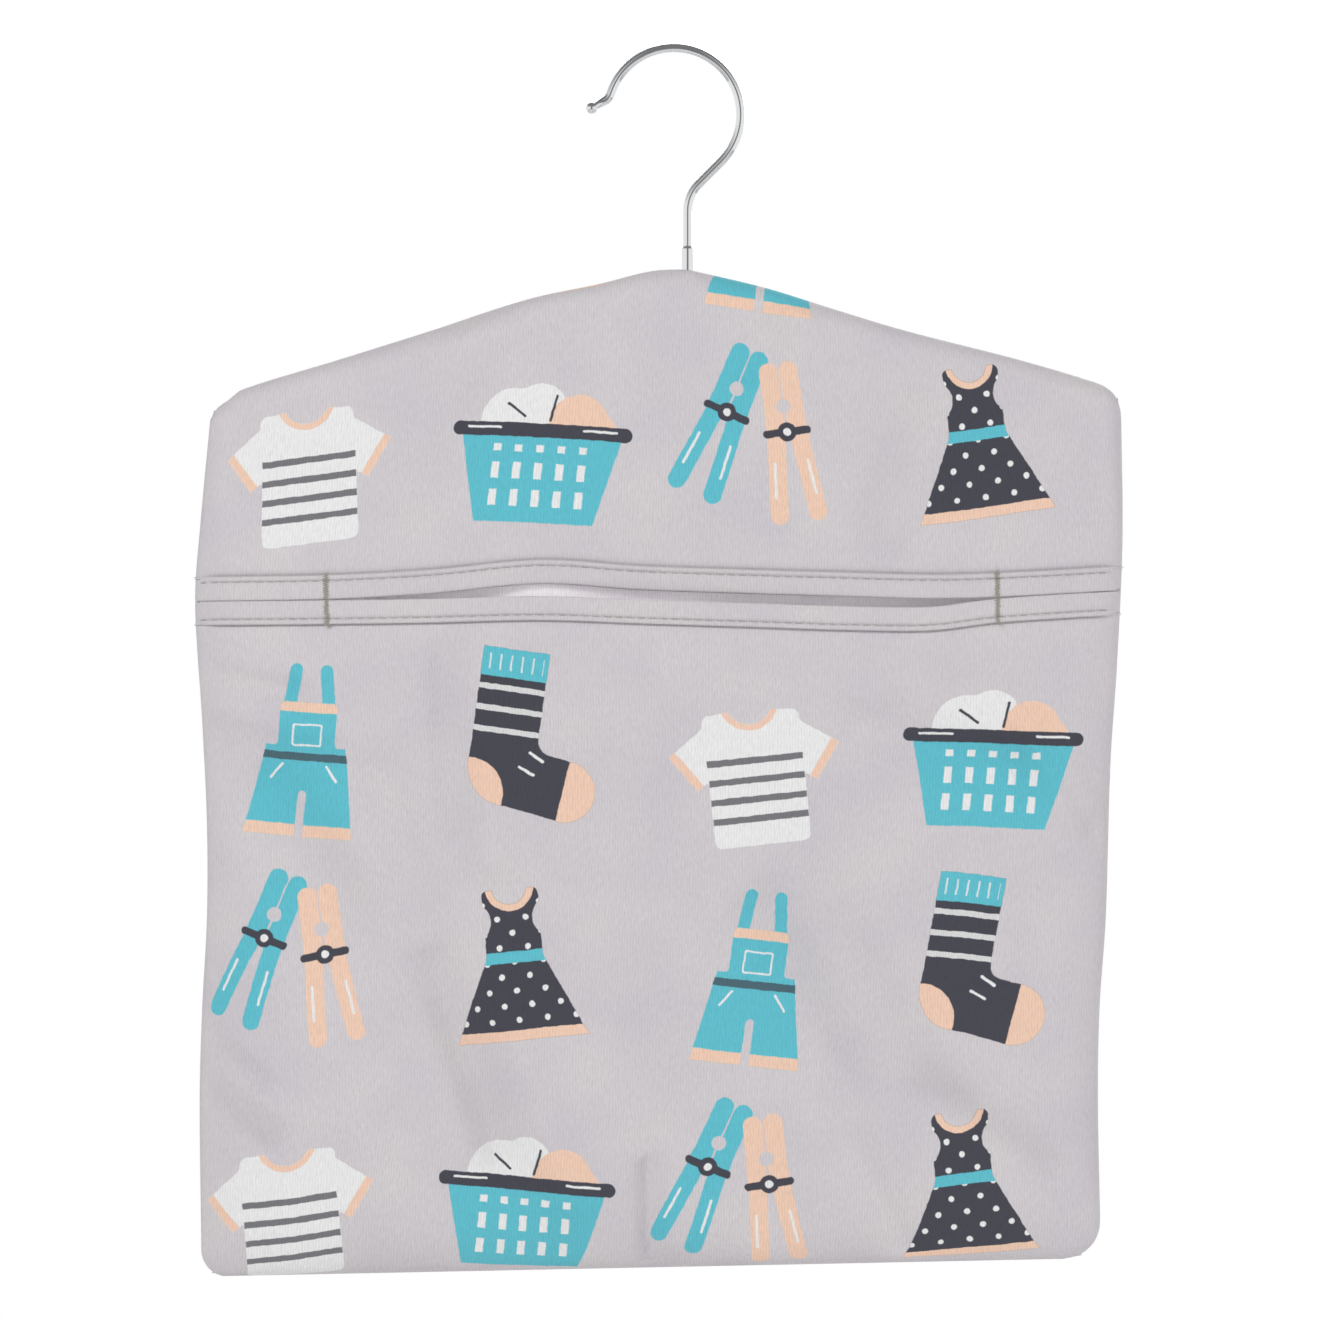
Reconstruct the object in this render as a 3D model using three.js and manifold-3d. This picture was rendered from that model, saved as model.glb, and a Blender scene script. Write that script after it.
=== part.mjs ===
// Peg bag: a cotton pouch sewn round a wooden hanger, with a wire hook that swivels in the hanger.
// Millimetres, +Z up, front towards -Y. The origin is the point under the crook of the hook that rests on a line.
import * as THREE from "three";
import { mergeVertices } from "three/addons/utils/BufferGeometryUtils.js";
import Module from "manifold-3d";

const wasm = await Module();
wasm.setup();

// Clearance between pieces that touch
const GAP = 0.3;

// Hook
const WIRE = 2.9;
const CROOK_R = 22; // to the middle of the wire
const CROOK_FROM = 162; // degrees round the crook, at the tip's end
const CROOK_TO = -45; // degrees round the crook, where it leaves for the stem
const TIP_BEND_R = 4;
const TIP_TURN = 45; // degrees
const TIP_LENGTH = 4.2;
const BALL = 3.8;
const NECK_BEND_R = 12.5;
const STEM_OFFSET = 4.5; // stem's axis, right of the crook's middle
const SHANK = 3.8; // the stem's thicker foot, which turns in the bush
const SHANK_SHOWS = 7.5; // above the cloth
const HEAD = 7;
const HEAD_THICK = 1.8;

// Swivel
const BUSH_WALL = 1;
const BUSH_SUNK = 1; // below the top of the hanger
const WASHER = 9.6;
const WASHER_THICK = 1;
const COUNTERBORE_DEPTH = 8;
const COUNTERBORE_PLAY = 0.5;

// Hanger
const HANGER_DROP = 71.9; // from the origin to where the top lines of the arms meet
const HANGER_REACH = 142; // from the stem to either end
const HANGER_THICK = 12;
const HANGER_EDGE_FLAT = 1; // left flat between the rounds of an edge
const ARM_PITCH = 0.285; // fall for each millimetre outwards
const HANGER_CROWN = 28; // half length of the round over the ridge
const NOSE_R = 13; // round of an end's upper corner
const NOSE_FLAT = 1;
const FOOT_R = 12; // round of an end's lower corner
const HANGER_CENTRE_DEPTH = 34;

// Cloth
const CLOTH = 1;
const EASE = 0.5; // room between the hanger and the cloth over it
const LEFT_SLACK = 14.2; // room between the hanger's left end and the left side
const LEFT_PITCH = 0.318; // the left shoulder is cut a little steeper than the arm
const RIDGE_SHIFT = 9.9; // the ridge of the cloth, left of the stem
const CLOTH_CROWN = 28; // half length of the cloth's round over the ridge
const SHOULDER_R = 10;
const BAG_DROP = 400.6; // from the origin to the bottom edge, below the origin
const BOTTOM_TILT = 0.0206; // rise of the bottom edge for each millimetre to the right
const BOTTOM_CORNER_R = 9;
const MOUTH_FLARE_LEFT = 5; // how far the left side stands out at the mouth, past the shoulder
const MOUTH_FLARE_RIGHT = 0.2;
const WAIST_FLARE_LEFT = 1.2;
const WAIST_FLARE_RIGHT = -4.8;
const HEM_FLARE_LEFT = 3.4;
const HEM_FLARE_RIGHT = -7.5;
const WAIST_DROP = 270;
const HEM_DROP = 345; // where the sides end their last curve
const POUCH_DEPTH = 28; // front to back, at the belly
const BELLY_DROP = 290;
const SIDE_ROUND = 60; // width of the round from a side seam to the belly
const BOTTOM_ROUND = 55;
const FULLNESS = 2.5; // of the pouch's rounds: 2 is a quarter circle, and more is blunter

// Main folds of the pouch's front, each from one place to another, in shares across from the left side and down
// from the mouth
const FOLD_HALF_WIDTH = 9;
const HOLLOW_DEPTH = 3.8;
const CREST_RISE = 2.8;
const FOLD_FADE = 16; // distance from a sewn edge over which a fold flattens
const HOLLOWS = [
  { across: [0.07, 0.16], down: [0.29, 0.46] },
  { across: [0.19, 0.24], down: [0.26, 0.48] },
  { across: [0.25, 0.32], down: [0.54, 0.83] },
  { across: [0.73, 0.9], down: [0.19, 0.26] },
  { across: [0.61, 0.7], down: [0.47, 0.73] },
  { across: [0.8, 0.91], down: [0.74, 0.85] },
];
const CRESTS = [
  { across: [0.3, 0.32], down: [0.09, 0.39] },
  { across: [0.33, 0.4], down: [0.61, 0.89] },
  { across: [0.74, 0.83], down: [0.45, 0.7] },
];

// Mouth
const MOUTH_DROP = 180;
const MOUTH_SHUT_LEFT = 43.7; // sewn shut from the left side to the mouth
const MOUTH_SHUT_RIGHT = 41.7;
const MOUTH_GAPE = 7;
const LIP_OUT = 5; // how far the lower lip hangs forward of the upper one
const LIP_FADE = 70;
const MOUTH_HEM = 7;
const BAR_TACK_LENGTH = 17;
const BAR_TACK_WIDTH = 1.6;
const BAR_TACK_THICK = 0.8;

// Seams inside the bag
const SEAM_WIDTH = 8;
const SEAM_THICK = 1.6;
const SEAM_START = 1.4; // inside the inner face of the cloth's edge

// Facets
const WIRE_SIDES = 12;
const HOOK_STEPS = 90;
const ROUND_SIDES = 32;
const SMOOTH_CLOTH = { edge: 4, columns: 12, rows: 7 }; // steps round one edge, across the flat and up it
const FOLDED_CLOTH = { edge: 6, columns: 18, rows: 11 };
const SEAM_STEPS = 16;

// Places worked out from the sizes
const STEM_X = STEM_OFFSET;
const RIDGE_Z = -HANGER_DROP;
const MOUTH_Z = -MOUTH_DROP;
const SHANK_R = SHANK / 2;
const PIVOT_BORE_R = SHANK_R + GAP;
const BUSH_R = PIVOT_BORE_R + BUSH_WALL;
const HANGER_EDGE_R = (HANGER_THICK - HANGER_EDGE_FLAT) / 2;
const HANGER_END_DEPTH = NOSE_R + NOSE_FLAT + FOOT_R;
const HANGER_END_Z = RIDGE_Z - ARM_PITCH * HANGER_REACH - HANGER_END_DEPTH;
const HANGER_FOOT_Z = RIDGE_Z - HANGER_CENTRE_DEPTH;
const HANGER_PEAK_Z = RIDGE_Z - (ARM_PITCH * HANGER_CROWN) / 2;
const COUNTERBORE_Z = HANGER_FOOT_Z + COUNTERBORE_DEPTH;
const SHELL = CLOTH + EASE; // from the hanger to the outside of the cloth
const TOP_HALF = HANGER_THICK / 2 + SHELL;
const POUCH_HALF = POUCH_DEPTH / 2;
const SHOULDER_RIGHT = STEM_X + HANGER_REACH + SHELL;
const SHOULDER_LEFT = STEM_X - HANGER_REACH - SHELL - LEFT_SLACK;
const ROOF_X = STEM_X - RIDGE_SHIFT;
const ROOF_PITCH = (LEFT_PITCH + ARM_PITCH) / 2;
const ROOF_SKEW = (ARM_PITCH - LEFT_PITCH) / 2;
const ROOF_COSINE = 1 / Math.hypot(1, ROOF_PITCH);
const ROOF_Z = RIDGE_Z + SHELL / ROOF_COSINE + ARM_PITCH * RIDGE_SHIFT;
const MOUTH_LEFT = SHOULDER_LEFT - MOUTH_FLARE_LEFT + MOUTH_SHUT_LEFT;
const MOUTH_RIGHT = SHOULDER_RIGHT + MOUTH_FLARE_RIGHT - MOUTH_SHUT_RIGHT;
const MOUTH_MIDDLE = (MOUTH_LEFT + MOUTH_RIGHT) / 2;

const materials = {
  chrome: new THREE.MeshStandardMaterial({ color: 0xc9cbce, roughness: 0.15, metalness: 1 }),
  steel: new THREE.MeshStandardMaterial({ color: 0xa8a9ab, roughness: 0.4, metalness: 1 }),
  wood: new THREE.MeshStandardMaterial({ color: 0xc9a77c, roughness: 0.55, metalness: 0 }),
  cotton: new THREE.MeshStandardMaterial({ color: 0xccc8ca, roughness: 0.9, metalness: 0 }),
  thread: new THREE.MeshStandardMaterial({ color: 0x9b958c, roughness: 0.8, metalness: 0 }),
};

const mix = (a, b, t) => a + (b - a) * t;
const clamp01 = (t) => Math.min(1, Math.max(0, t));

function smoothBetween(value, from, to) {
  const t = clamp01((value - from) / (to - from));
  return t * t * (3 - 2 * t);
}

// Solids from geometries, and back again

function solidOf(geometry) {
  const bare = new THREE.BufferGeometry();
  bare.setAttribute("position", geometry.getAttribute("position"));
  if (geometry.index) bare.setIndex(geometry.index);
  const merged = mergeVertices(bare, 1e-4);
  return new wasm.Manifold(
    new wasm.Mesh({
      numProp: 3,
      vertProperties: new Float32Array(merged.attributes.position.array),
      triVerts: new Uint32Array(merged.index.array),
    }),
  );
}

function geometryOf(solid) {
  const mesh = solid.getMesh();
  const geometry = new THREE.BufferGeometry();
  geometry.setAttribute("position", new THREE.BufferAttribute(mesh.vertProperties, mesh.numProp));
  geometry.setIndex(new THREE.BufferAttribute(mesh.triVerts, 1));
  geometry.computeVertexNormals();
  return geometry;
}

// A round bar on the stem's axis, between two heights.
function stemBar(radius, bottom, top) {
  const bar = new THREE.CylinderGeometry(radius, radius, top - bottom, ROUND_SIDES);
  bar.rotateX(Math.PI / 2);
  bar.translate(STEM_X, 0, (bottom + top) / 2);
  return bar;
}

// Sweeps a shape along a curve.
function sweep(shape, path, steps, curveSegments) {
  return new THREE.ExtrudeGeometry(shape, { extrudePath: path, steps, curveSegments });
}

// Outline of the bag: its sides, its sloping top and its bottom, each drawn in by an inset

// How far a rounded corner has dropped from the straight edge, at a distance from the end of that edge.
function cornerDrop(distance, radius) {
  const t = clamp01(1 - distance / radius);
  return radius * (1 - Math.sqrt(1 - t * t));
}

// Width of the flare at a height, passing smoothly through the mouth, the waist and the hem.
function flare(z, mouth, waist, hem) {
  const toMouth = smoothBetween(z, HANGER_END_Z, MOUTH_Z);
  const toWaist = smoothBetween(z, MOUTH_Z, -WAIST_DROP);
  const toHem = smoothBetween(z, -WAIST_DROP, -HEM_DROP);
  return mouth * toMouth + (waist - mouth) * toWaist + (hem - waist) * toHem;
}

function bottomEdge(x, inset) {
  return -BAG_DROP + BOTTOM_TILT * x + inset;
}

function leftSide(z, inset) {
  const out = flare(z, MOUTH_FLARE_LEFT, WAIST_FLARE_LEFT, HEM_FLARE_LEFT);
  const above = z - bottomEdge(SHOULDER_LEFT, inset);
  return SHOULDER_LEFT - out + inset + cornerDrop(above, BOTTOM_CORNER_R - inset);
}

function rightSide(z, inset) {
  const out = flare(z, MOUTH_FLARE_RIGHT, WAIST_FLARE_RIGHT, HEM_FLARE_RIGHT);
  const above = z - bottomEdge(SHOULDER_RIGHT, inset);
  return SHOULDER_RIGHT + out - inset - cornerDrop(above, BOTTOM_CORNER_R - inset);
}

function topEdge(x, inset) {
  const d = x - ROOF_X;
  const crown = Math.max(0, CLOTH_CROWN - Math.abs(d)) ** 2 / (2 * CLOTH_CROWN);
  const roof = ROOF_Z - ROOF_PITCH * (Math.abs(d) + crown) - ROOF_SKEW * d;
  const toCorner = Math.min(x - SHOULDER_LEFT, SHOULDER_RIGHT - x) - inset;
  return roof - inset / ROOF_COSINE - cornerDrop(toCorner, SHOULDER_R - inset);
}

// Depth of the bag: half its thickness, which fits the hanger at the top and swells to the belly

const belly = (z) => smoothBetween(z, HANGER_END_Z, -BELLY_DROP);
const sideRound = (z, inset) => mix(TOP_HALF, SIDE_ROUND, belly(z)) - inset;

// How far a round has risen: 0 at an edge, 1 where the round is done.
function swell(share, fullness) {
  return (1 - (1 - clamp01(share)) ** fullness) ** (1 / fullness);
}

function halfDepth(x, z, inset) {
  const full = mix(TOP_HALF, POUCH_HALF, belly(z)) - inset;
  const fromSide = Math.min(x - leftSide(z, inset), rightSide(z, inset) - x);
  const fromTop = (topEdge(x, inset) - z) * ROOF_COSINE;
  const fromBottom = z - bottomEdge(x, inset);
  const fromSides = swell(fromSide / sideRound(z, inset), mix(2, FULLNESS, belly(z)));
  const upper = Math.min(fromSides, swell(fromTop / (TOP_HALF - inset), 2));
  return full * upper * swell(fromBottom / (BOTTOM_ROUND - inset), FULLNESS);
}

// Mouth: a slit between two lips, open in the middle and closed at the bar tacks

function mouthOpen(x) {
  const t = clamp01((x - MOUTH_LEFT) / (MOUTH_RIGHT - MOUTH_LEFT));
  return Math.sin(Math.PI * t) ** 2;
}

const upperLip = (x) => MOUTH_Z + GAP / 2 + (MOUTH_GAPE / 2) * mouthOpen(x);
const lowerLip = (x) => MOUTH_Z - GAP / 2 - (MOUTH_GAPE / 2) * mouthOpen(x);

function lipOut(x, z) {
  return LIP_OUT * mouthOpen(x) * smoothBetween(z, MOUTH_Z - LIP_FADE, MOUTH_Z);
}

// Folds: shallow hollows and crests along lines, flat again at the sewn edges

function foldPlace(across, down) {
  const z = mix(MOUTH_Z, bottomEdge(MOUTH_MIDDLE, 0), down);
  return new THREE.Vector3(mix(leftSide(z, 0), rightSide(z, 0), across), 0, z);
}

function fold({ across, down }, rise) {
  return { line: new THREE.Line3(foldPlace(across[0], down[0]), foldPlace(across[1], down[1])), rise };
}

const folds = [...HOLLOWS.map((f) => fold(f, -HOLLOW_DEPTH)), ...CRESTS.map((f) => fold(f, CREST_RISE))];

function foldRise(x, z) {
  const fromSide = Math.min(x - leftSide(z, 0), rightSide(z, 0) - x);
  const fromEdge = Math.min(fromSide, z - bottomEdge(x, 0), lowerLip(x) - MOUTH_HEM - z);
  const place = new THREE.Vector3(x, 0, z);
  const nearest = new THREE.Vector3();
  const heights = folds.map(({ line, rise }) => {
    const away = line.closestPointToPoint(place, true, nearest).distanceTo(place);
    return rise * Math.exp(-((away / FOLD_HALF_WIDTH) ** 2));
  });
  return smoothBetween(fromEdge, 0, FOLD_FADE) * heights.reduce((sum, height) => sum + height, 0);
}

// Cloth panels: an outer and an inner face of the same rows and columns, joined round the rim

// Distances from an edge round which the cloth turns, closer together where it is steep.
function roundSteps(radius, count) {
  return Array.from({ length: count }, (_, i) => radius * (1 - Math.cos(((i / count) * Math.PI) / 2)));
}

function spread(from, to, count) {
  return Array.from({ length: count + 1 }, (_, i) => mix(from, to, i / count));
}

// Places across one row, whose height differs from side to side.
function columnsAt(leftZ, rightZ, inset, grid) {
  const left = leftSide(leftZ, inset);
  const right = rightSide(rightZ, inset);
  const leftReach = sideRound(leftZ, inset);
  const rightReach = sideRound(rightZ, inset);
  return [
    ...roundSteps(leftReach, grid.edge).map((s) => left + s),
    ...spread(left + leftReach, right - rightReach, grid.columns),
    ...roundSteps(rightReach, grid.edge)
      .reverse()
      .map((s) => right - s),
  ];
}

// Heights down from the top edge over which the cloth turns round the hanger.
function topRows(x, inset, grid) {
  const steps = roundSteps((TOP_HALF - inset) / ROOF_COSINE, grid.edge);
  return steps.map((s) => topEdge(x, inset) - s).reverse();
}

function bottomRows(x, inset, grid) {
  return roundSteps(BOTTOM_ROUND - inset, grid.edge).map((s) => bottomEdge(x, inset) + s);
}

const topFlat = (x, inset) => topEdge(x, inset) - (TOP_HALF - inset) / ROOF_COSINE;
const bottomFlat = (x, inset) => bottomEdge(x, inset) + BOTTOM_ROUND - inset;

// One face of a panel. rows(x, inset) gives its heights, bottom first; depth(x, z, row) is its distance from the middle.
function clothFace(grid, rows, inset, side, depth) {
  const leftHeights = rows(SHOULDER_LEFT, inset);
  const rightHeights = rows(SHOULDER_RIGHT, inset);
  return leftHeights.map((leftZ, j) =>
    columnsAt(leftZ, rightHeights[j], inset, grid).map((x) => {
      const z = rows(x, inset)[j];
      return new THREE.Vector3(x, side * (depth(x, z, j) + GAP / 2), z);
    }),
  );
}

function clothSolid(outer, inner, side) {
  const rows = outer.length;
  const columns = outer[0].length;
  const positions = [...outer.flat(), ...inner.flat()].flatMap((p) => [p.x, p.y, p.z]);
  const outerAt = (j, i) => j * columns + i;
  const innerAt = (j, i) => rows * columns + j * columns + i;
  const index = [];
  const quad = (a, b, c, d) => (side < 0 ? index.push(a, b, c, a, c, d) : index.push(a, c, b, a, d, c));
  for (let j = 0; j + 1 < rows; j++) {
    for (let i = 0; i + 1 < columns; i++) {
      quad(outerAt(j, i), outerAt(j, i + 1), outerAt(j + 1, i + 1), outerAt(j + 1, i));
      quad(innerAt(j, i), innerAt(j + 1, i), innerAt(j + 1, i + 1), innerAt(j, i + 1));
    }
  }
  for (let i = 0; i + 1 < columns; i++) {
    quad(outerAt(0, i), innerAt(0, i), innerAt(0, i + 1), outerAt(0, i + 1));
    quad(outerAt(rows - 1, i), outerAt(rows - 1, i + 1), innerAt(rows - 1, i + 1), innerAt(rows - 1, i));
  }
  for (let j = 0; j + 1 < rows; j++) {
    quad(outerAt(j, 0), outerAt(j + 1, 0), innerAt(j + 1, 0), innerAt(j, 0));
    quad(outerAt(j, columns - 1), innerAt(j, columns - 1), innerAt(j + 1, columns - 1), outerAt(j + 1, columns - 1));
  }
  const geometry = new THREE.BufferGeometry();
  geometry.setAttribute("position", new THREE.Float32BufferAttribute(positions, 3));
  geometry.setIndex(index);
  return solidOf(geometry);
}

function hookHole() {
  return solidOf(stemBar(PIVOT_BORE_R, HANGER_PEAK_Z - TOP_HALF, 0));
}

// The folded hem doubles the cloth over the first two rows next to the lip.
const HEM_ROWS = 2;

function frontUpperPanel() {
  const grid = SMOOTH_CLOTH;
  const rows = (x, inset) => {
    const lip = upperLip(x);
    const above = lip + MOUTH_HEM + CLOTH;
    return [lip, lip + MOUTH_HEM, ...spread(above, topFlat(x, inset), grid.rows), ...topRows(x, inset, grid)];
  };
  const outer = clothFace(grid, rows, 0, -1, (x, z) => halfDepth(x, z, 0));
  const inner = clothFace(grid, rows, CLOTH, -1, (x, z, j) => {
    const hem = j < HEM_ROWS ? CLOTH : 0;
    return Math.max(0, halfDepth(x, z, CLOTH) - hem);
  });
  return geometryOf(clothSolid(outer, inner, -1).subtract(hookHole()));
}

function frontLowerPanel() {
  const grid = FOLDED_CLOTH;
  const rows = (x, inset) => {
    const lip = lowerLip(x);
    const below = lip - MOUTH_HEM - CLOTH;
    const flat = spread(bottomFlat(x, inset), below, grid.rows);
    return [...bottomRows(x, inset, grid), ...flat, lip - MOUTH_HEM, lip];
  };
  const rowCount = rows(MOUTH_MIDDLE, 0).length;
  const shaped = (x, z, inset) => halfDepth(x, z, inset) + lipOut(x, z) + foldRise(x, z);
  const outer = clothFace(grid, rows, 0, -1, (x, z) => shaped(x, z, 0));
  const inner = clothFace(grid, rows, CLOTH, -1, (x, z, j) => {
    const hem = j >= rowCount - HEM_ROWS ? CLOTH : 0;
    return Math.max(0, shaped(x, z, CLOTH) - hem);
  });
  return geometryOf(clothSolid(outer, inner, -1));
}

function backPanel() {
  const grid = SMOOTH_CLOTH;
  const rows = (x, inset) => [
    ...bottomRows(x, inset, grid),
    ...spread(bottomFlat(x, inset), topFlat(x, inset), 2 * grid.rows),
    ...topRows(x, inset, grid),
  ];
  const outer = clothFace(grid, rows, 0, 1, (x, z) => halfDepth(x, z, 0));
  const inner = clothFace(grid, rows, CLOTH, 1, (x, z) => halfDepth(x, z, CLOTH));
  return geometryOf(clothSolid(outer, inner, 1).subtract(hookHole()));
}

// Seams: the two layers of cloth left inside the bag along each sewn edge, bound together

function seamStrip(points, across) {
  const half = SEAM_THICK / 2;
  const section = (p) => {
    const far = p.clone().addScaledVector(across, SEAM_WIDTH);
    return [p, far, far, p].map((q, i) => new THREE.Vector3(q.x, i < 2 ? -half : half, q.z));
  };
  const rings = points.map(section);
  const positions = rings.flat().flatMap((q) => [q.x, q.y, q.z]);
  const index = [];
  for (let j = 0; j + 1 < rings.length; j++) {
    for (let i = 0; i < 4; i++) {
      const [a, b] = [4 * j + i, 4 * j + ((i + 1) % 4)];
      index.push(a, b + 4, b, a, a + 4, b + 4);
    }
  }
  const last = 4 * (rings.length - 1);
  index.push(0, 1, 2, 0, 2, 3, last, last + 2, last + 1, last, last + 3, last + 2);
  const geometry = new THREE.BufferGeometry();
  geometry.setAttribute("position", new THREE.Float32BufferAttribute(positions, 3));
  geometry.setIndex(index);
  return geometry;
}

const SEAM_INSET = CLOTH + SEAM_START;
const SEAM_CORNER = BOTTOM_CORNER_R + 2 * SEAM_WIDTH; // how far the seams stop short of a bottom corner

function sideSeam(side, inwards) {
  const top = HANGER_END_Z - SEAM_START;
  const bottom = bottomEdge(side(MOUTH_Z, 0), SEAM_INSET) + SEAM_CORNER;
  const heights = spread(bottom, top, SEAM_STEPS);
  const line = heights.map((z) => new THREE.Vector3(side(z, SEAM_INSET), 0, z));
  return seamStrip(inwards > 0 ? line.reverse() : line, new THREE.Vector3(inwards, 0, 0));
}

function bottomSeam() {
  const from = leftSide(-HEM_DROP, SEAM_INSET) + SEAM_CORNER;
  const to = rightSide(-HEM_DROP, SEAM_INSET) - SEAM_CORNER;
  const line = spread(from, to, SEAM_STEPS).map((x) => new THREE.Vector3(x, 0, bottomEdge(x, SEAM_INSET)));
  return seamStrip(line, new THREE.Vector3(0, 0, 1));
}

// A bar of close stitches across both lips at one end of the mouth.
function barTack(x) {
  const half = BAR_TACK_LENGTH / 2;
  const surface = (z) => halfDepth(x, z, 0) + GAP / 2 + GAP + BAR_TACK_THICK / 2;
  const points = spread(MOUTH_Z - half, MOUTH_Z + half, 4).map((z) => new THREE.Vector3(x, -surface(z), z));
  const section = new THREE.Shape();
  section.absellipse(0, 0, BAR_TACK_WIDTH / 2, BAR_TACK_THICK / 2, 0, 2 * Math.PI);
  return sweep(section, new THREE.CatmullRomCurve3(points), 8, 4);
}

// Hook: tip, crook, neck and stem in one wire, with a ball at the tip and a flat head under the hanger

class WireLine extends THREE.Curve {
  constructor(path) {
    super();
    this.path = path;
  }

  getPoint(t, target = new THREE.Vector3()) {
    const p = this.path.getPoint(t);
    return target.set(p.x, 0, p.y);
  }
}

const radians = THREE.MathUtils.degToRad;
const polar = (centre, r, angle) =>
  new THREE.Vector2(centre.x + r * Math.cos(angle), centre.y + r * Math.sin(angle));

const HEAD_TOP_Z = COUNTERBORE_Z - 2 * GAP - WASHER_THICK;

function wirePath() {
  const crook = new THREE.Vector2(0, WIRE / 2 - CROOK_R);
  const from = radians(CROOK_FROM);
  const to = radians(CROOK_TO);
  const tipBend = polar(crook, CROOK_R + TIP_BEND_R, from);
  const tipAngle = from - Math.PI - radians(TIP_TURN);
  const tipStart = polar(tipBend, TIP_BEND_R, tipAngle);
  const ball = polar(tipStart, TIP_LENGTH, tipAngle - Math.PI / 2);
  const crookEnd = polar(crook, CROOK_R, to);
  const neckRun = (crookEnd.x - NECK_BEND_R * (1 - Math.cos(to)) - STEM_X) / -Math.sin(to);
  const neckStart = polar(crookEnd, neckRun, to - Math.PI / 2);
  const neckBend = polar(neckStart, NECK_BEND_R, to);
  const path = new THREE.Path();
  path.moveTo(ball.x, ball.y);
  path.lineTo(tipStart.x, tipStart.y);
  path.absarc(tipBend.x, tipBend.y, TIP_BEND_R, tipAngle, from - Math.PI, false);
  path.absarc(crook.x, crook.y, CROOK_R, from, to, true);
  path.lineTo(neckStart.x, neckStart.y);
  path.absarc(neckBend.x, neckBend.y, NECK_BEND_R, to + Math.PI, Math.PI, false);
  path.lineTo(STEM_X, HEAD_TOP_Z);
  return { path, ball };
}

function hook() {
  const { path, ball } = wirePath();
  const round = new THREE.Shape();
  round.absarc(0, 0, WIRE / 2, 0, 2 * Math.PI);
  const wire = sweep(round, new WireLine(path), HOOK_STEPS, WIRE_SIDES / 2);
  const tip = new THREE.SphereGeometry(BALL / 2, 16, 10);
  tip.translate(ball.x, 0, ball.y);
  const clothTop = topEdge(STEM_X, 0);
  const shank = stemBar(SHANK_R, HEAD_TOP_Z - HEAD_THICK / 2, clothTop + SHANK_SHOWS);
  const head = stemBar(HEAD / 2, HEAD_TOP_Z - HEAD_THICK, HEAD_TOP_Z);
  return geometryOf(solidOf(wire).add(solidOf(tip)).add(solidOf(shank)).add(solidOf(head)));
}

function ring(outer, inner, bottom, top) {
  const past = 1; // the bore's cutter runs out of both faces
  const bar = solidOf(stemBar(outer, bottom, top));
  return geometryOf(bar.subtract(solidOf(stemBar(inner, bottom - past, top + past))));
}

const hookBush = () => ring(BUSH_R, PIVOT_BORE_R, COUNTERBORE_Z, HANGER_PEAK_Z - BUSH_SUNK);

function hookWasher() {
  const top = COUNTERBORE_Z - GAP;
  return ring(WASHER / 2, PIVOT_BORE_R, top - WASHER_THICK, top);
}

// Hanger: a flat board with drooping arms, rounded over all its edges, bored for the hook

function hangerOutline() {
  const under = (HANGER_CENTRE_DEPTH - (ARM_PITCH * HANGER_REACH + HANGER_END_DEPTH)) / HANGER_REACH;
  const endTop = RIDGE_Z - ARM_PITCH * HANGER_REACH;
  const top = (d) => RIDGE_Z - ARM_PITCH * d;
  const bottom = (d) => HANGER_FOOT_Z + under * d;
  const outline = new THREE.Shape();
  outline.moveTo(-HANGER_CROWN, bottom(HANGER_CROWN));
  outline.quadraticCurveTo(0, HANGER_FOOT_Z, HANGER_CROWN, bottom(HANGER_CROWN));
  outline.lineTo(HANGER_REACH - FOOT_R, bottom(HANGER_REACH - FOOT_R));
  outline.quadraticCurveTo(HANGER_REACH, HANGER_END_Z, HANGER_REACH, HANGER_END_Z + FOOT_R);
  outline.lineTo(HANGER_REACH, endTop - NOSE_R);
  outline.quadraticCurveTo(HANGER_REACH, endTop, HANGER_REACH - NOSE_R, top(HANGER_REACH - NOSE_R));
  outline.lineTo(HANGER_CROWN, top(HANGER_CROWN));
  outline.quadraticCurveTo(0, RIDGE_Z, -HANGER_CROWN, top(HANGER_CROWN));
  outline.lineTo(NOSE_R - HANGER_REACH, top(HANGER_REACH - NOSE_R));
  outline.quadraticCurveTo(-HANGER_REACH, endTop, -HANGER_REACH, endTop - NOSE_R);
  outline.lineTo(-HANGER_REACH, HANGER_END_Z + FOOT_R);
  outline.quadraticCurveTo(-HANGER_REACH, HANGER_END_Z, FOOT_R - HANGER_REACH, bottom(HANGER_REACH - FOOT_R));
  return outline;
}

function hanger() {
  const board = new THREE.ExtrudeGeometry(hangerOutline(), {
    depth: HANGER_THICK - 2 * HANGER_EDGE_R,
    curveSegments: 6,
    bevelThickness: HANGER_EDGE_R,
    bevelSize: HANGER_EDGE_R,
    bevelOffset: -HANGER_EDGE_R,
    bevelSegments: 4,
  });
  board.translate(STEM_X, 0, HANGER_EDGE_R - HANGER_THICK / 2);
  board.rotateX(Math.PI / 2);
  const bore = stemBar(BUSH_R + GAP, HANGER_FOOT_Z, 0);
  const counterbore = stemBar(WASHER / 2 + COUNTERBORE_PLAY, HANGER_FOOT_Z - HANGER_CENTRE_DEPTH, COUNTERBORE_Z);
  return geometryOf(solidOf(board).subtract(solidOf(bore)).subtract(solidOf(counterbore)));
}

// Assembly

const pegBag = new THREE.Group();

function addPiece(name, geometry, material) {
  const piece = new THREE.Mesh(geometry, material);
  piece.name = name;
  pegBag.add(piece);
}

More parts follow.
